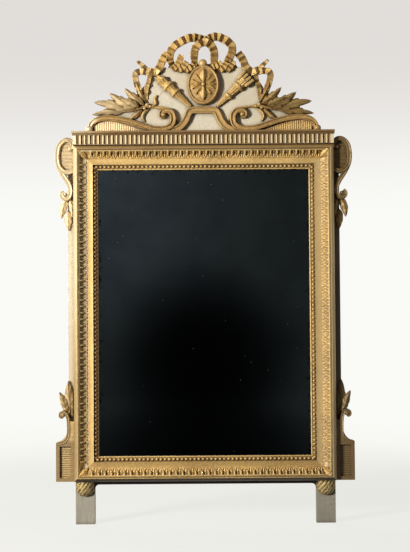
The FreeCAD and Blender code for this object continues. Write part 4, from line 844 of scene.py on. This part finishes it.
def slopePoint(look, along, down, relief=0.0):
    turn = math.radians(look["from"] + (look["to"] - look["from"]) * down)
    wide = look["radius"] - relief
    return Vector((
        along * look["pitch"] * mm, (look["centre"][0] + wide * math.cos(turn)) * mm,
        (look["centre"][1] + wide * math.sin(turn)) * mm))


def slopeRidge(mesh, look, ridge):
    line = [slopePoint(look, along, down) for along, down in ridge["path"]]
    faces = [(slopePoint(look, along, down, 1) - point).normalized()
             for (along, down), point in zip(ridge["path"], line)]
    wide = [value * mm for value in ridge["widths"]]
    high = [value * mm for value in ridge["heights"]]
    return sweepBand(mesh, line, ridgeSection, wide, high, faces, closed=False)


for side in edgesOfFrame:
    look = courseLook
    place, half = runFrame(side)
    mesh = bmesh.new()
    unit = []
    for ridge in look["ridges"]:
        unit += slopeRidge(mesh, look, ridge)
    count = int((half - look["mitre"] * mm) * 2 / (look["pitch"] * mm))
    faces = list({face for vert in unit for face in vert.link_faces})
    bmesh.ops.translate(mesh, verts=unit, vec=(-(count - 1) / 2 * look["pitch"] * mm, 0, 0))
    for index in range(1, count):
        copied = bmesh.ops.duplicate(mesh, geom=faces)
        bmesh.ops.translate(
            mesh, verts=grownVerts(copied["geom"]), vec=(index * look["pitch"] * mm, 0, 0))
    mitred(mesh, look["fillet"], half)
    reshape(mesh, place, mesh.verts)
    finishPiece("leafCourse." + side, mesh, giltCourse, angle=60)
print("stage 2: leaf course")

# Corner leaves of the course
cornerLook = {
    "outer": 13.5, "inner": 33, "outerSunk": 3, "innerSunk": 17, "sag": 2, "width": 17, "depth": 7,
    "lobes": 4, "tooth": 0.2, "cellsAlong": 16, "cellsAcross": 8,
}
mesh = bmesh.new()
look = cornerLook
for across in (-1, 1):
    for level, rise in ((mouldLow.z, 1), (mouldHigh.z, -1)):
        corner = Vector((across * mouldHigh.x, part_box("moulding_top")[0].y, level))
        way = Vector((-across, 0, rise))
        base = corner + way * look["outer"] * mm - front * look["outerSunk"] * mm
        tip = corner + way * look["inner"] * mm - front * look["innerSunk"] * mm
        bend = (base + tip) / 2 - front * look["sag"] * mm
        carvedLeaf(mesh, base, bend, tip, look)
finishPiece("cornerLeaves", mesh, gilt)

# Sight slip with its row of pearls
slipLook = {
    "outline": ((47, 8), (47, 13), (57, 13), (57.2, 14.8), (59, 14.8), (59.9, 14.2), (60, 8)),
    "ground": 13, "pearlLine": 52.2, "pearlLevel": 13.9, "pearl": 3.7, "pitch": 10.1,
}
giltSlip = giltPaint("giltSlip", giltLook, None, slipShading)
for side in edgesOfFrame:
    look = slipLook
    place, half = runFrame(side)
    mesh = bmesh.new()
    mitred(mesh, look["outline"], half)
    span = 2 * (half - (look["pearlLine"] + look["pearl"]) * mm)
    count = round(span / (look["pitch"] * mm))
    for index in range(count + 1):
        spot = Vector(((index / count - 0.5) * span, look["pearlLine"] * mm, look["pearlLevel"] * mm))
        ball(mesh, spot, look["pearl"])
    reshape(mesh, place, mesh.verts)
    finishPiece("pearlSlip." + side, mesh, giltSlip, ("bead_slip_" + side,))
print("stage 3: pearl slips")

# Crest ornaments stand on the face of the pediment board
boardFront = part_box("pediment_board")[0].y
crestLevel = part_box("cornice")[1].z


def onCrest(across, up, out=0.0):
    return Vector((across * mm, boardFront - out * mm, crestLevel + up * mm))


def crestLine(path, side=1):
    return [onCrest(side * across, *rest) for across, *rest in path]


# S-scrolls with a rolled inner end and a ball at the outer end
scrollLook = {
    "step": 2.0, "width": 13.5, "depth": 15, "start": (0.1, 0.6), "end": (0.12, 0.7),
    "path": (
        (92.5, 37.5), (98, 36.5), (102, 41), (99.5, 48), (91, 52), (81, 50.5), (74, 42.5), (72, 31),
        (75.5, 18), (87, 9.5), (105, 6.8), (129, 9.5), (155, 17.5), (184, 27), (213, 33), (240, 34.5), (261, 29),
        (273, 17.5), (272, 9)),
    "balls": ((95.5, 42.5, 6), (276.5, 7, 9)), "ballOut": 8, "ballStretch": (1, 1.15, 1),
}
for name, side in sides.items():
    look = scrollLook
    mesh = bmesh.new()
    band(mesh, crestLine(look["path"], side), look, scrollSection)
    for across, up, radius in look["balls"]:
        ball(mesh, onCrest(side * across, up, look["ballOut"]), radius, look["ballStretch"], 3)
    finishPiece("scroll." + name, mesh, giltDull, ("scroll_" + name,))

# Splayed pedestal under the medallion
archLook = {
    "path": (
        (84, 1.5), (68, 5), (54, 13.5), (43, 27), (36.5, 41.5), (31.5, 50), (21, 53), (0, 53), (-21, 53),
        (-31.5, 50), (-36.5, 41.5), (-43, 27), (-54, 13.5), (-68, 5), (-84, 1.5)),
    "step": 2.0, "width": 16, "depth": 12,
}
mesh = bmesh.new()
look = archLook
band(mesh, crestLine(look["path"]), look, scrollSection)
finishPiece("pedestalArch", mesh, giltDull, ("pedestal_arch",))

# Oval medallion with its raised rim
medallionLook = {
    "centre": (1, 114), "squeeze": 0.79, "steps": 72,
    "profile": (
        (0, 17.5), (20, 16.8), (34, 15.0), (39.5, 13.6), (40.6, 13.4), (41.4, 14.4), (42.8, 16.0),
        (44.8, 16.4), (46.8, 15.4), (48.2, 12.8), (48.8, 9.0), (48.8, 0)),
}
mesh = bmesh.new()
look = medallionLook
place = Matrix.Translation(onCrest(*look["centre"])) @ Matrix.Rotation(math.radians(90), 4, "X")
turned(mesh, look["profile"], look["steps"], place, squeeze=(look["squeeze"], 1))
finishPiece("medallionOval", mesh, giltDull, ("medallion",))

# Rosette: petals as base, tip, width, depth and bow from the medallion's centre
rosetteLook = {
    "level": 14.5, "boss": (5.0, 4, (1, 1.2, 1)), "spindle": (20, 4.3, 5, (1, 1.4, 3.9)), "berry": (2.6, 1),
    "petals": (
        (0, 4, 0, 38, 19, 5, 0.0), (0, -4, 0, -38, 19, 5, 0.0),
        (5, 2, 27, 13, 9, 6.5, 0.25), (5, 0, 30, 1, 10, 7, 0), (5, -2, 26, -11, 9, 6.5, -0.25),
        (-5, 2, -27, 13, 9, 6.5, -0.25), (-5, 0, -30, 1, 10, 7, 0), (-5, -2, -26, -11, 9, 6.5, 0.25),
        (4, 9, 17, 25, 8, 6, 0.3), (-4, 9, -17, 25, 8, 6, -0.3),
        (4, -9, 17, -25, 8, 6, -0.3), (-4, -9, -17, -25, 8, 6, 0.3)),
    "petal": {"lobes": 3, "tooth": 0.0, "cellsAlong": 14, "cellsAcross": 8, "droop": 0.75},
    "berries": ((18, 20), (-18, 20), (18, -19), (-18, -19)),
}


def onMedallion(across, up, out=0.0):
    middle, level = medallionLook["centre"]
    return onCrest(middle + across, level + up, rosetteLook["level"] + out)


mesh = bmesh.new()
look = rosetteLook
for across, up, farAcross, farUp, wide, deep, bow in look["petals"]:
    petal = {**look["petal"], "width": wide, "depth": deep}
    leafTo(mesh, onMedallion(across, up), onMedallion(farAcross, farUp), petal, bow)
radius, out, stretch = look["boss"]
ball(mesh, onMedallion(0, 0, out), radius, stretch, 3)
reach, radius, out, stretch = look["spindle"]
for turn in (-1, 1):
    ball(mesh, onMedallion(0, turn * reach, out), radius, stretch, 3)
radius, out = look["berry"]
for across, up in look["berries"]:
    ball(mesh, onMedallion(across, up, out), radius)
finishPiece("rosetteLeaves", mesh, gilt, ("rosette",))

# Bead over the medallion
knobLook = {"balls": (((0, 166, 10), 10.5, (1, 1, 1)), ((0, 157, 8), 8.5, (1.35, 1, 0.5)))}
mesh = bmesh.new()
for spot, radius, stretch in knobLook["balls"]:
    ball(mesh, onCrest(*spot), radius, stretch, 3)
finishPiece("knob", mesh, gilt, ("medallion_knob",))


def turnedStaff(mesh, look):
    lean = leaning(onCrest(*look["foot"]), onCrest(*look["head"]))
    turned(mesh, look["profile"], look["steps"], lean, look["flutes"], swell=look["swell"])
    return lean


# Fluted torch with its flame
torchLook = {
    "foot": (-30, 62, 6), "head": (-112, 137, 6), "steps": 60, "swell": 1.1,
    "profile": (
        (0, 0), (3.2, 0), (4.0, 3), (8.2, 44), (8.6, 46), (11.0, 47), (12.2, 48.5), (12.2, 51), (11.0, 52.5),
        (8.6, 53.5), (8.4, 55), (9.6, 64), (10.6, 70), (12.6, 71), (13.6, 73), (13.6, 76), (12.4, 78),
        (9.6, 79), (9.2, 81), (10.6, 88), (12.2, 92), (12.4, 94.5), (9.8, 97), (8.6, 100), (6.4, 106),
        (2.6, 111), (0, 112)),
    "flutes": ((3, 44, 9, 2.6, 0), (55, 70, 9, 2.2, 0), (81, 93, 10, 2.2, 0), (96, 112, 7, 3.4, 0.16)),
}
mesh = bmesh.new()
turnedStaff(mesh, torchLook)
finishPiece("torchCarved", mesh, giltCrest, ("torch",))

# Quiver with the feathers of four arrows
quiverLook = {
    "foot": (34, 62, 6), "head": (116, 139, 6), "steps": 60, "swell": 1.1,
    "bars": (-13.5, -4.5, 4.5, 13.5), "bar": (7.4, 10, 26), "barPlace": (6, 95), "barSplay": 0.5,
    "barRound": 2,
    "profile": (
        (0, 0), (3.0, 0), (3.8, 3), (6.8, 33), (8.8, 34), (9.8, 35.5), (9.8, 38.5), (8.8, 40), (7.2, 41),
        (9.6, 66), (11.6, 67), (12.6, 68.5), (12.6, 72.5), (11.6, 74), (10.4, 75), (12.2, 88), (12.4, 91),
        (10.6, 91.5), (9, 86), (0, 86)),
    "flutes": ((3, 33, 9, 2.2, 0), (41, 66, 9, 2.2, 0), (75, 88, 10, 2.0, 0)),
}
mesh = bmesh.new()
look = quiverLook
lean = turnedStaff(mesh, look)
ahead, up = look["barPlace"]
for across in look["bars"]:
    bar = bmesh.ops.create_cube(mesh, size=1)["verts"]
    swing = Matrix.Rotation(math.radians(across * look["barSplay"]), 4, "Y")
    shape = swing @ Matrix.Diagonal((*(size * mm for size in look["bar"]), 1))
    reshape(mesh, lean @ Matrix.Translation((across * mm, ahead * mm, up * mm)) @ shape, bar)
    edges = list({edge for vert in bar for edge in vert.link_edges})
    bmesh.ops.bevel(
        mesh, geom=edges, offset=look["barRound"] * mm, segments=2, profile=0.5, affect="EDGES", material=-1)
finishPiece("quiverCarved", mesh, giltCrest, ("quiver",))

# Pleated ribbon bow over the medallion
bowLook = {
    "runs": (
        ((-70, 160, 0), (-78, 172, 1), (-79.5, 187, 2), (-75, 201, 3), (-64, 212.5, 4), (-50, 220.5, 5),
         (-35, 227.5, 5), (-20, 229.5, 4), (-6, 227, 3), (10, 222, 1), (26, 216, 0)),
        ((6, 222, 2), (18, 229, 5), (34, 231, 6), (50, 226, 5), (63, 218, 4), (71.5, 207, 3), (71, 193, 2),
         (64, 178, 1), (56, 163, 0)),
        ((-19, 160, 4), (-20.5, 178, 6), (-20, 192, 7), (-16, 205, 8), (-6, 214.5, 8), (6, 217.5, 8),
         (18, 212.5, 8), (26.5, 199, 7), (28.5, 183, 6), (26, 162, 4))),
    "width": 18.5, "depth": 14, "pleat": 0.8, "pitch": 15, "uneven": 6, "rising": 0.5, "step": 1.3,
    "start": (0.2, 0.7), "end": (0.12, 0.8),
    "folds": (
        ((-74, 153, 3), (-64, 160, 7), (-56, 172, 9), (-52, 187, 8)),
        ((-62, 150, 5), (-48, 157, 9), (-38, 170, 9)), ((-46, 148, 6), (-34, 154, 9), (-20, 163, 6)),
        ((18, 155, 5), (32, 160, 8), (46, 168, 8)), ((38, 149, 6), (50, 156, 9), (58, 168, 8)),
        ((56, 148, 5), (66, 158, 7), (76, 172, 4))),
    "fold": {"width": 15, "depth": 8, "pitch": 12, "start": (0.2, 0.8), "end": (0.2, 0.8)},
}
mesh = bmesh.new()
mesh.verts.layers.float.new("shade")
look = bowLook
for path in look["runs"]:
    band(mesh, crestLine(path), look, ribbonSection)
for path in look["folds"]:
    band(mesh, crestLine(path), {**look, **look["fold"]}, ribbonSection)
finishPiece("ribbonBow", mesh, giltRibbon, ("ribbon_bow",))

# Ribbon tails that wind down into the sprays
tailLook = {
    "runs": (
        (((86, 192, 1), (97, 176, 3), (105, 157, 4), (118, 146, 5), (133, 150, 4), (146, 162, 3),
          (159, 175, 1)), {"end": (0.45, 0.35)}),
        (((116, 147, 2), (133, 146, 4), (150, 148, 4), (163, 142, 4), (162, 124, 3), (155, 104, 2),
          (147, 78, 0)), {"width": 15, "end": (0.3, 0.5)}),
        (((128, 142, 3), (131, 124, 3), (137, 104, 2), (137, 80, 0)), {"width": 10.5, "end": (0.3, 0.5)})),
    "width": 18, "depth": 9.5, "pleat": 0.75, "pitch": 17, "uneven": 6, "rising": 0.5, "step": 1.4,
}
for name, side in sides.items():
    look = tailLook
    mesh = bmesh.new()
    mesh.verts.layers.float.new("shade")
    for path, change in look["runs"]:
        band(mesh, crestLine(path, side), {**look, **change}, ribbonSection)
    finishPiece("ribbonTail." + name, mesh, giltRibbon, ("ribbon_tail_" + name,))

# Laurel sprays
laurelLook = {
    "leaves": (
        (146, 60, 183, 27, 17, 0.10, 0), (192, 50, 269, 44, 22, -0.06, 0), (182, 53, 263, 73, 28, -0.10, 7),
        (166, 56, 226, 94, 28, 0.05, 13), (156, 60, 202, 80, 22, -0.05, 18), (143, 66, 190, 107, 24, 0.08, 8),
        (138, 72, 164, 128, 18, 0.08, 0)),
    "leaf": {"depth": 11, "droop": 0.75, "lobes": 3, "tooth": 0.30, "vein": 0.06},
    "berries": ((136, 66, 5), (128, 62, 4), (142, 58, 4)), "berryOut": 9,
    "stem": ((120, 62, 0), (140, 62, 4), (164, 56, 5), (190, 51, 4), (214, 48, 2)),
    "stemBand": {"step": 3, "width": 7, "depth": 10, "end": (0.6, 0.3)},
}
for name, side in sides.items():
    look = laurelLook
    mesh = bmesh.new()
    mesh.verts.layers.float.new("shade")
    leafSpray(mesh, look["leaves"], look["leaf"], onCrest, side)
    band(mesh, crestLine(look["stem"], side), look["stemBand"], stemSection)
    for across, up, radius in look["berries"]:
        ball(mesh, onCrest(side * across, up, look["berryOut"]), radius)
    finishPiece("laurel." + name, mesh, giltRibbon, ("laurel_" + name,))

# Tendrils: only the left one has the third, upward twig
tendrilLook = {
    "runs": (
        ((62, 26, 0), (70, 42, 1), (83, 54, 1), (104, 60, 1), (126, 62, 0)),
        ((130, 58, 0), (143, 48, 1), (147, 36, 1), (142, 26, 0)),
        ((120, 62, 0), (115, 70, 1), (117, 80, 1), (112, 90, 0))),
    "count": {"left": 3, "right": 2},
    "step": 1.8, "width": 8, "depth": 8, "start": (0.3, 0.4), "end": (0.4, 0.5),
}
for name, side in sides.items():
    look = tendrilLook
    mesh = bmesh.new()
    for path in look["runs"][:look["count"][name]]:
        band(mesh, crestLine(path, side), look, stemSection)
    finishPiece("tendril." + name, mesh, giltCrest, ("tendril_" + name,))
print("stage 4: crest")

# Upper ears: C-scroll, S-stem and hanging leaves beside the frame
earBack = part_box("ear_scroll_left")[1].y


def beside(across, up, out=0.0):
    return Vector((across * mm, earBack - out * mm, mouldLow.z + up * mm))


def besideLine(path, side, out=0.0):
    return [beside(side * across, up, out) for across, up in path]


earLook = {
    "loop": (
        (323, 800), (317, 806), (318, 816), (326, 822.5), (338, 821), (349, 809), (353.5, 790), (353, 770),
        (349, 756), (342.5, 743), (335, 731), (328, 720), (322.5, 708), (321.5, 694), (326, 683.5),
        (335, 680.5), (342, 686), (342.5, 693.5), (338, 698)),
    "hook": ((349, 757), (340, 747), (328, 744), (314, 748)), "hookOut": 1.5,
    "hookBand": {"start": (0.1, 1), "end": (0.1, 1)},
    "step": 1.8, "width": 11.5, "depth": 19, "start": (0.06, 0.7), "end": (0.08, 0.7),
    "balls": ((334.5, 691, 5), (323, 802, 5.5)), "ballOut": 12, "ballStretch": (1, 1.2, 1),
}
earPanelLook = {
    "outline": (
        (314, 822), (325, 823), (338, 821), (349, 808), (353.5, 789), (353, 769), (347.5, 752), (338, 742.5),
        (328, 741.5), (314, 745)),
    "inner": 314, "depth": 9, "reed": 3.4, "reedDepth": 2.0, "inset": 3.0,
}
earLeafLook = {
    "leaves": (
        (331, 681, 344, 633, 19, -0.12, 3), (323, 681, 318, 633, 15, 0.08, 3),
        (329, 652, 328, 604, 19, 0.0, 0)),
    "leaf": {"depth": 9, "lobes": 3, "tooth": 0.10},
}
for name, side in sides.items():
    look = earLook
    mesh = bmesh.new()
    band(mesh, besideLine(look["loop"], side), look, bandSection)
    hook = {**look, **look["hookBand"]}
    band(mesh, besideLine(look["hook"], side, look["hookOut"]), hook, bandSection)
    for across, up, radius in look["balls"]:
        ball(mesh, beside(side * across, up, look["ballOut"]), radius, look["ballStretch"], 3)
    finishPiece("earScroll." + name, mesh, giltWornShaded, ("ear_scroll_" + name,))
    look = earPanelLook
    mesh = bmesh.new()
    loop = [mesh.verts.new(spot) for spot in besideLine(look["outline"], side)]
    sheet = bmesh.ops.contextual_create(mesh, geom=loop)["faces"]
    grown = bmesh.ops.extrude_face_region(mesh, geom=sheet)["geom"]
    bmesh.ops.translate(mesh, verts=grownVerts(grown), vec=front * look["depth"] * mm)
    outer = look["outline"][1:-1]
    level = outer[-1][1] + look["reed"] / 2
    while level < outer[0][1]:
        reach = 0  # the outline's furthest place at this level
        for (across, up), (farAcross, farUp) in zip(outer, outer[1:]):
            if farUp <= level <= up and up > farUp:
                reach = max(reach, farAcross + (across - farAcross) * (level - farUp) / (up - farUp))
        ends = ((look["inner"], level), (reach - look["inset"], level))
        line = besideLine(ends, side, look["depth"])
        sweepBand(mesh, line, stemSection, [look["reed"] * mm] * 2, [look["reedDepth"] * mm] * 2)
        level += look["reed"]
    finishPiece("earPanel." + name, mesh, giltWornShaded, ("ear_panel_" + name,))
    look = earLeafLook
    mesh = bmesh.new()
    leafSpray(mesh, look["leaves"], look["leaf"], beside, side)
    finishPiece("earLeaf." + name, mesh, gilt, ("ear_leaf_" + name,))

# Lower shoulders: band over the hollow curve, volute and leaf spray
shoulderLook = {
    "path": (
        (354, 91), (344, 92.5), (335, 98), (329.5, 108), (328, 122), (328.5, 142), (331, 156), (338, 166),
        (347, 163), (348, 155), (342, 153)),
    "step": 1.6, "width": 8.5, "depth": 18, "start": (0.1, 1), "end": (0.12, 0.6),
    "eye": (341.5, 159, 5.5), "eyeOut": 12, "eyeStretch": (1, 1.2, 1),
    "leaves": (
        (322, 154, 329, 241, 27, 0.04, 0), (332, 164, 351, 214, 19, -0.08, 4),
        (328, 160, 346, 190, 15, -0.12, 5), (319, 154, 318, 210, 12, 0.0, 0)),
    "leaf": {"depth": 10, "lobes": 3, "tooth": 0.10},
}
for name, side in sides.items():
    look = shoulderLook
    mesh = bmesh.new()
    band(mesh, besideLine(look["path"], side), look, bandSection)
    across, up, radius = look["eye"]
    ball(mesh, beside(side * across, up, look["eyeOut"]), radius, look["eyeStretch"], 3)
    leafSpray(mesh, look["leaves"], look["leaf"], beside, side)
    finishPiece("shoulderLeaf." + name, mesh, giltWornShaded, ("shoulder_leaf_" + name,))
    nodes["shoulder_" + name].data.materials[0] = giltShoulder
print("stage 5: ears and shoulders")

# Gadrooned caps on the feet
capLook = {
    "profile": (
        (0, 0), (6, 0.6), (12, 3), (17.5, 8), (21.3, 15), (22.8, 22), (23, 29), (22.4, 33), (23, 36.5),
        (0, 36.5)),
    "gadroons": (0.3, 33.5, 14, 2.6, -0.26), "steps": 112,
}
for name, side in sides.items():
    look = capLook
    low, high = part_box("foot_cap_" + name)
    mesh = bmesh.new()
    place = Matrix.Translation(((low.x + high.x) / 2, high.y, low.z))
    turned(mesh, look["profile"], look["steps"], place, (look["gadroons"],))
    bmesh.ops.bisect_plane(
        mesh, geom=mesh.verts[:] + mesh.edges[:] + mesh.faces[:], plane_co=(0, high.y, 0),
        plane_no=(0, 1, 0), clear_outer=True)
    bmesh.ops.holes_fill(mesh, edges=mesh.edges[:])
    finishPiece("footCap." + name, mesh, giltCap, ("foot_cap_" + name,))
print("stage 6: foot caps")

# Studio: pale floor, a far wall all round, and a dark card for the glass to look into
# lamps as place, aim, power, size and colour
stageLook = {
    "floor": "#F6F6F1", "wall": "#FAFAF6", "sky": "#E1DDDA", "bounce": "#464543", "world": "#F4F3F1",
    "fill": 0.04, "card": "#393D3C", "haze": "#62696C", "dark": "#050505", "reach": 10.0, "height": 9.0,
    "segments": 96,
    "floorSpan": (1.0, 4.0), "shadowShare": 0.16, "shadowSpan": (1.0, 2.4), "skySpan": (1.45, 3.2),
    "cardProfile": ((-0.12, 0.004), (-4.6, 0.004), (-4.6, 4.0)), "cardRun": (-2.6, 6.2),
    "hazeAcross": (-0.9, 0.5), "hazeUp": (0.1, 1.3), "hazeAhead": (-4.5, -4.2), "darkUp": 0.25,
    "darkSpan": (0.02, 0.45),
    "lamps": {
        "key": ((-2.25, -2.4, 1.0), (0, 0, 0.65), 132.0, 0.5, (1.0, 0.97, 0.92)),
        "front": ((-0.6, -3.6, 2.2), (0, 0, 0.6), 4.0, 1.6, (1, 1, 1)),
        "back": ((-1.6, 3.4, 2.4), (0, 0, 0.6), 55.0, 1.8, (1, 1, 1))},
}


def stagePiece(name, mesh, paint):
    data = bpy.data.meshes.new(name)
    mesh.to_mesh(data)
    mesh.free()
    data.polygons.foreach_set("use_smooth", [True] * len(data.polygons))
    data.materials.append(paint)
    piece = bpy.data.objects.new(name, data)
    bpy.context.scene.collection.objects.link(piece)
    return piece


def sheetAlong(mesh, profile, start, run):
    verts = [mesh.verts.new((start, ahead, up)) for ahead, up in profile]
    edges = [mesh.edges.new(pair) for pair in zip(verts, verts[1:])]
    grown = bmesh.ops.extrude_edge_only(mesh, edges=edges)["geom"]
    bmesh.ops.translate(mesh, verts=grownVerts(grown), vec=(run, 0, 0))


def floorPaint(look):
    paint = Paint("floor")
    seen = paint.node("ShaderNodeLightPath", out="Is Camera Ray")
    seen = seen.most(paint.node("ShaderNodeLightPath", out="Is Glossy Ray"))
    seen = seen.most(paint.node("ShaderNodeLightPath", out="Is Transmission Ray"))
    across, ahead, _ = paint.parts(paint.place())
    spread = (across * across + ahead * ahead) ** 0.5
    colour = paint.blend(spread.between(*look["floorSpan"]), tone(look["floor"]), tone(look["wall"]))
    bounced = paint.blend(seen, tone(look["bounce"]), colour)
    lit = paint.node("ShaderNodeBsdfDiffuse", inputs={"Color": bounced})
    shadow = look["shadowShare"]
    share = seen * ((1.0 - shadow) + shadow * spread.between(*look["shadowSpan"]))
    return paint.close(paint.node("ShaderNodeMixShader", inputs={0: share, 1: lit, 2: paint.glow(colour)}))


def wallPaint(look):
    paint = Paint("wall")
    _, _, up = paint.parts(paint.place())
    colour = paint.blend(up.between(*look["skySpan"]), tone(look["wall"]), tone(look["sky"]))
    return paint.close(paint.glow(colour))


def cardPaint(look):
    paint = Paint("card")
    across, ahead, up = paint.parts(paint.place())
    haze = (1.0 - across.between(*look["hazeAcross"])) * up.between(*look["hazeUp"])
    haze = haze * (1.0 - ahead.between(*look["hazeAhead"]))
    level = up - look["darkUp"]
    middle = 1.0 - (across * across + level * level).between(*look["darkSpan"])
    colour = paint.blend(haze, tone(look["card"]), tone(look["haze"]))
    colour = paint.blend(middle, colour, tone(look["dark"]))
    return paint.close(paint.glow(colour))


look = stageLook
mesh = bmesh.new()
bmesh.ops.create_circle(mesh, cap_ends=True, segments=look["segments"], radius=look["reach"])
stagePiece("floor", mesh, floorPaint(look))

mesh = bmesh.new()
rim = bmesh.ops.create_circle(mesh, segments=look["segments"], radius=look["reach"])["verts"]
edges = list({edge for vert in rim for edge in vert.link_edges})
grown = bmesh.ops.extrude_edge_only(mesh, edges=edges)["geom"]
bmesh.ops.translate(mesh, verts=grownVerts(grown), vec=(0, 0, look["height"]))
wall = stagePiece("wall", mesh, wallPaint(look))
wall.visible_diffuse = False
wall.visible_shadow = False

mesh = bmesh.new()
sheetAlong(mesh, look["cardProfile"], *look["cardRun"])
card = stagePiece("card", mesh, cardPaint(look))
card.visible_camera = False
card.visible_diffuse = False
card.visible_shadow = False
card.visible_transmission = False


def lamp(name, place, aim, power, size, colour):
    data = bpy.data.lights.new(name, "AREA")
    data.energy = power
    data.size = size
    data.color = colour
    item = bpy.data.objects.new(name, data)
    item.location = place
    item.rotation_euler = (Vector(aim) - Vector(place)).to_track_quat("-Z", "Y").to_euler()
    bpy.context.scene.collection.objects.link(item)


for name, values in look["lamps"].items():
    lamp(name, *values)
world = bpy.data.worlds.new("studio")
world.use_nodes = True
bpy.context.scene.world = world
backing = world.node_tree.nodes["Background"]
backing.inputs["Color"].default_value = tone(look["world"])
backing.inputs["Strength"].default_value = look["fill"]

scene = bpy.context.scene
scene.view_settings.view_transform = "Standard"

# Camera square to the glass, a little low, as in the photo
cameraLook = {
    "distance": 3.2, "height": 1.325, "aim": (0.002, -0.02, 0.595), "pitch": 2.0, "roll": -0.4, "sensor": 36}
look = cameraLook
data = bpy.data.cameras.new("camera")
data.sensor_fit = "VERTICAL"
data.sensor_height = look["sensor"]
data.lens = look["sensor"] * look["distance"] / look["height"]
camera = bpy.data.objects.new("camera", data)
tilt = Matrix.Rotation(math.radians(90 + look["pitch"]), 4, "X")
turn = tilt @ Matrix.Rotation(math.radians(look["roll"]), 4, "Z")
stand = Vector(look["aim"]) + turn.to_3x3() @ Vector((0, 0, look["distance"]))
camera.matrix_world = Matrix.Translation(stand) @ turn
scene.collection.objects.link(camera)
scene.camera = camera
print("stage 7: studio and camera")
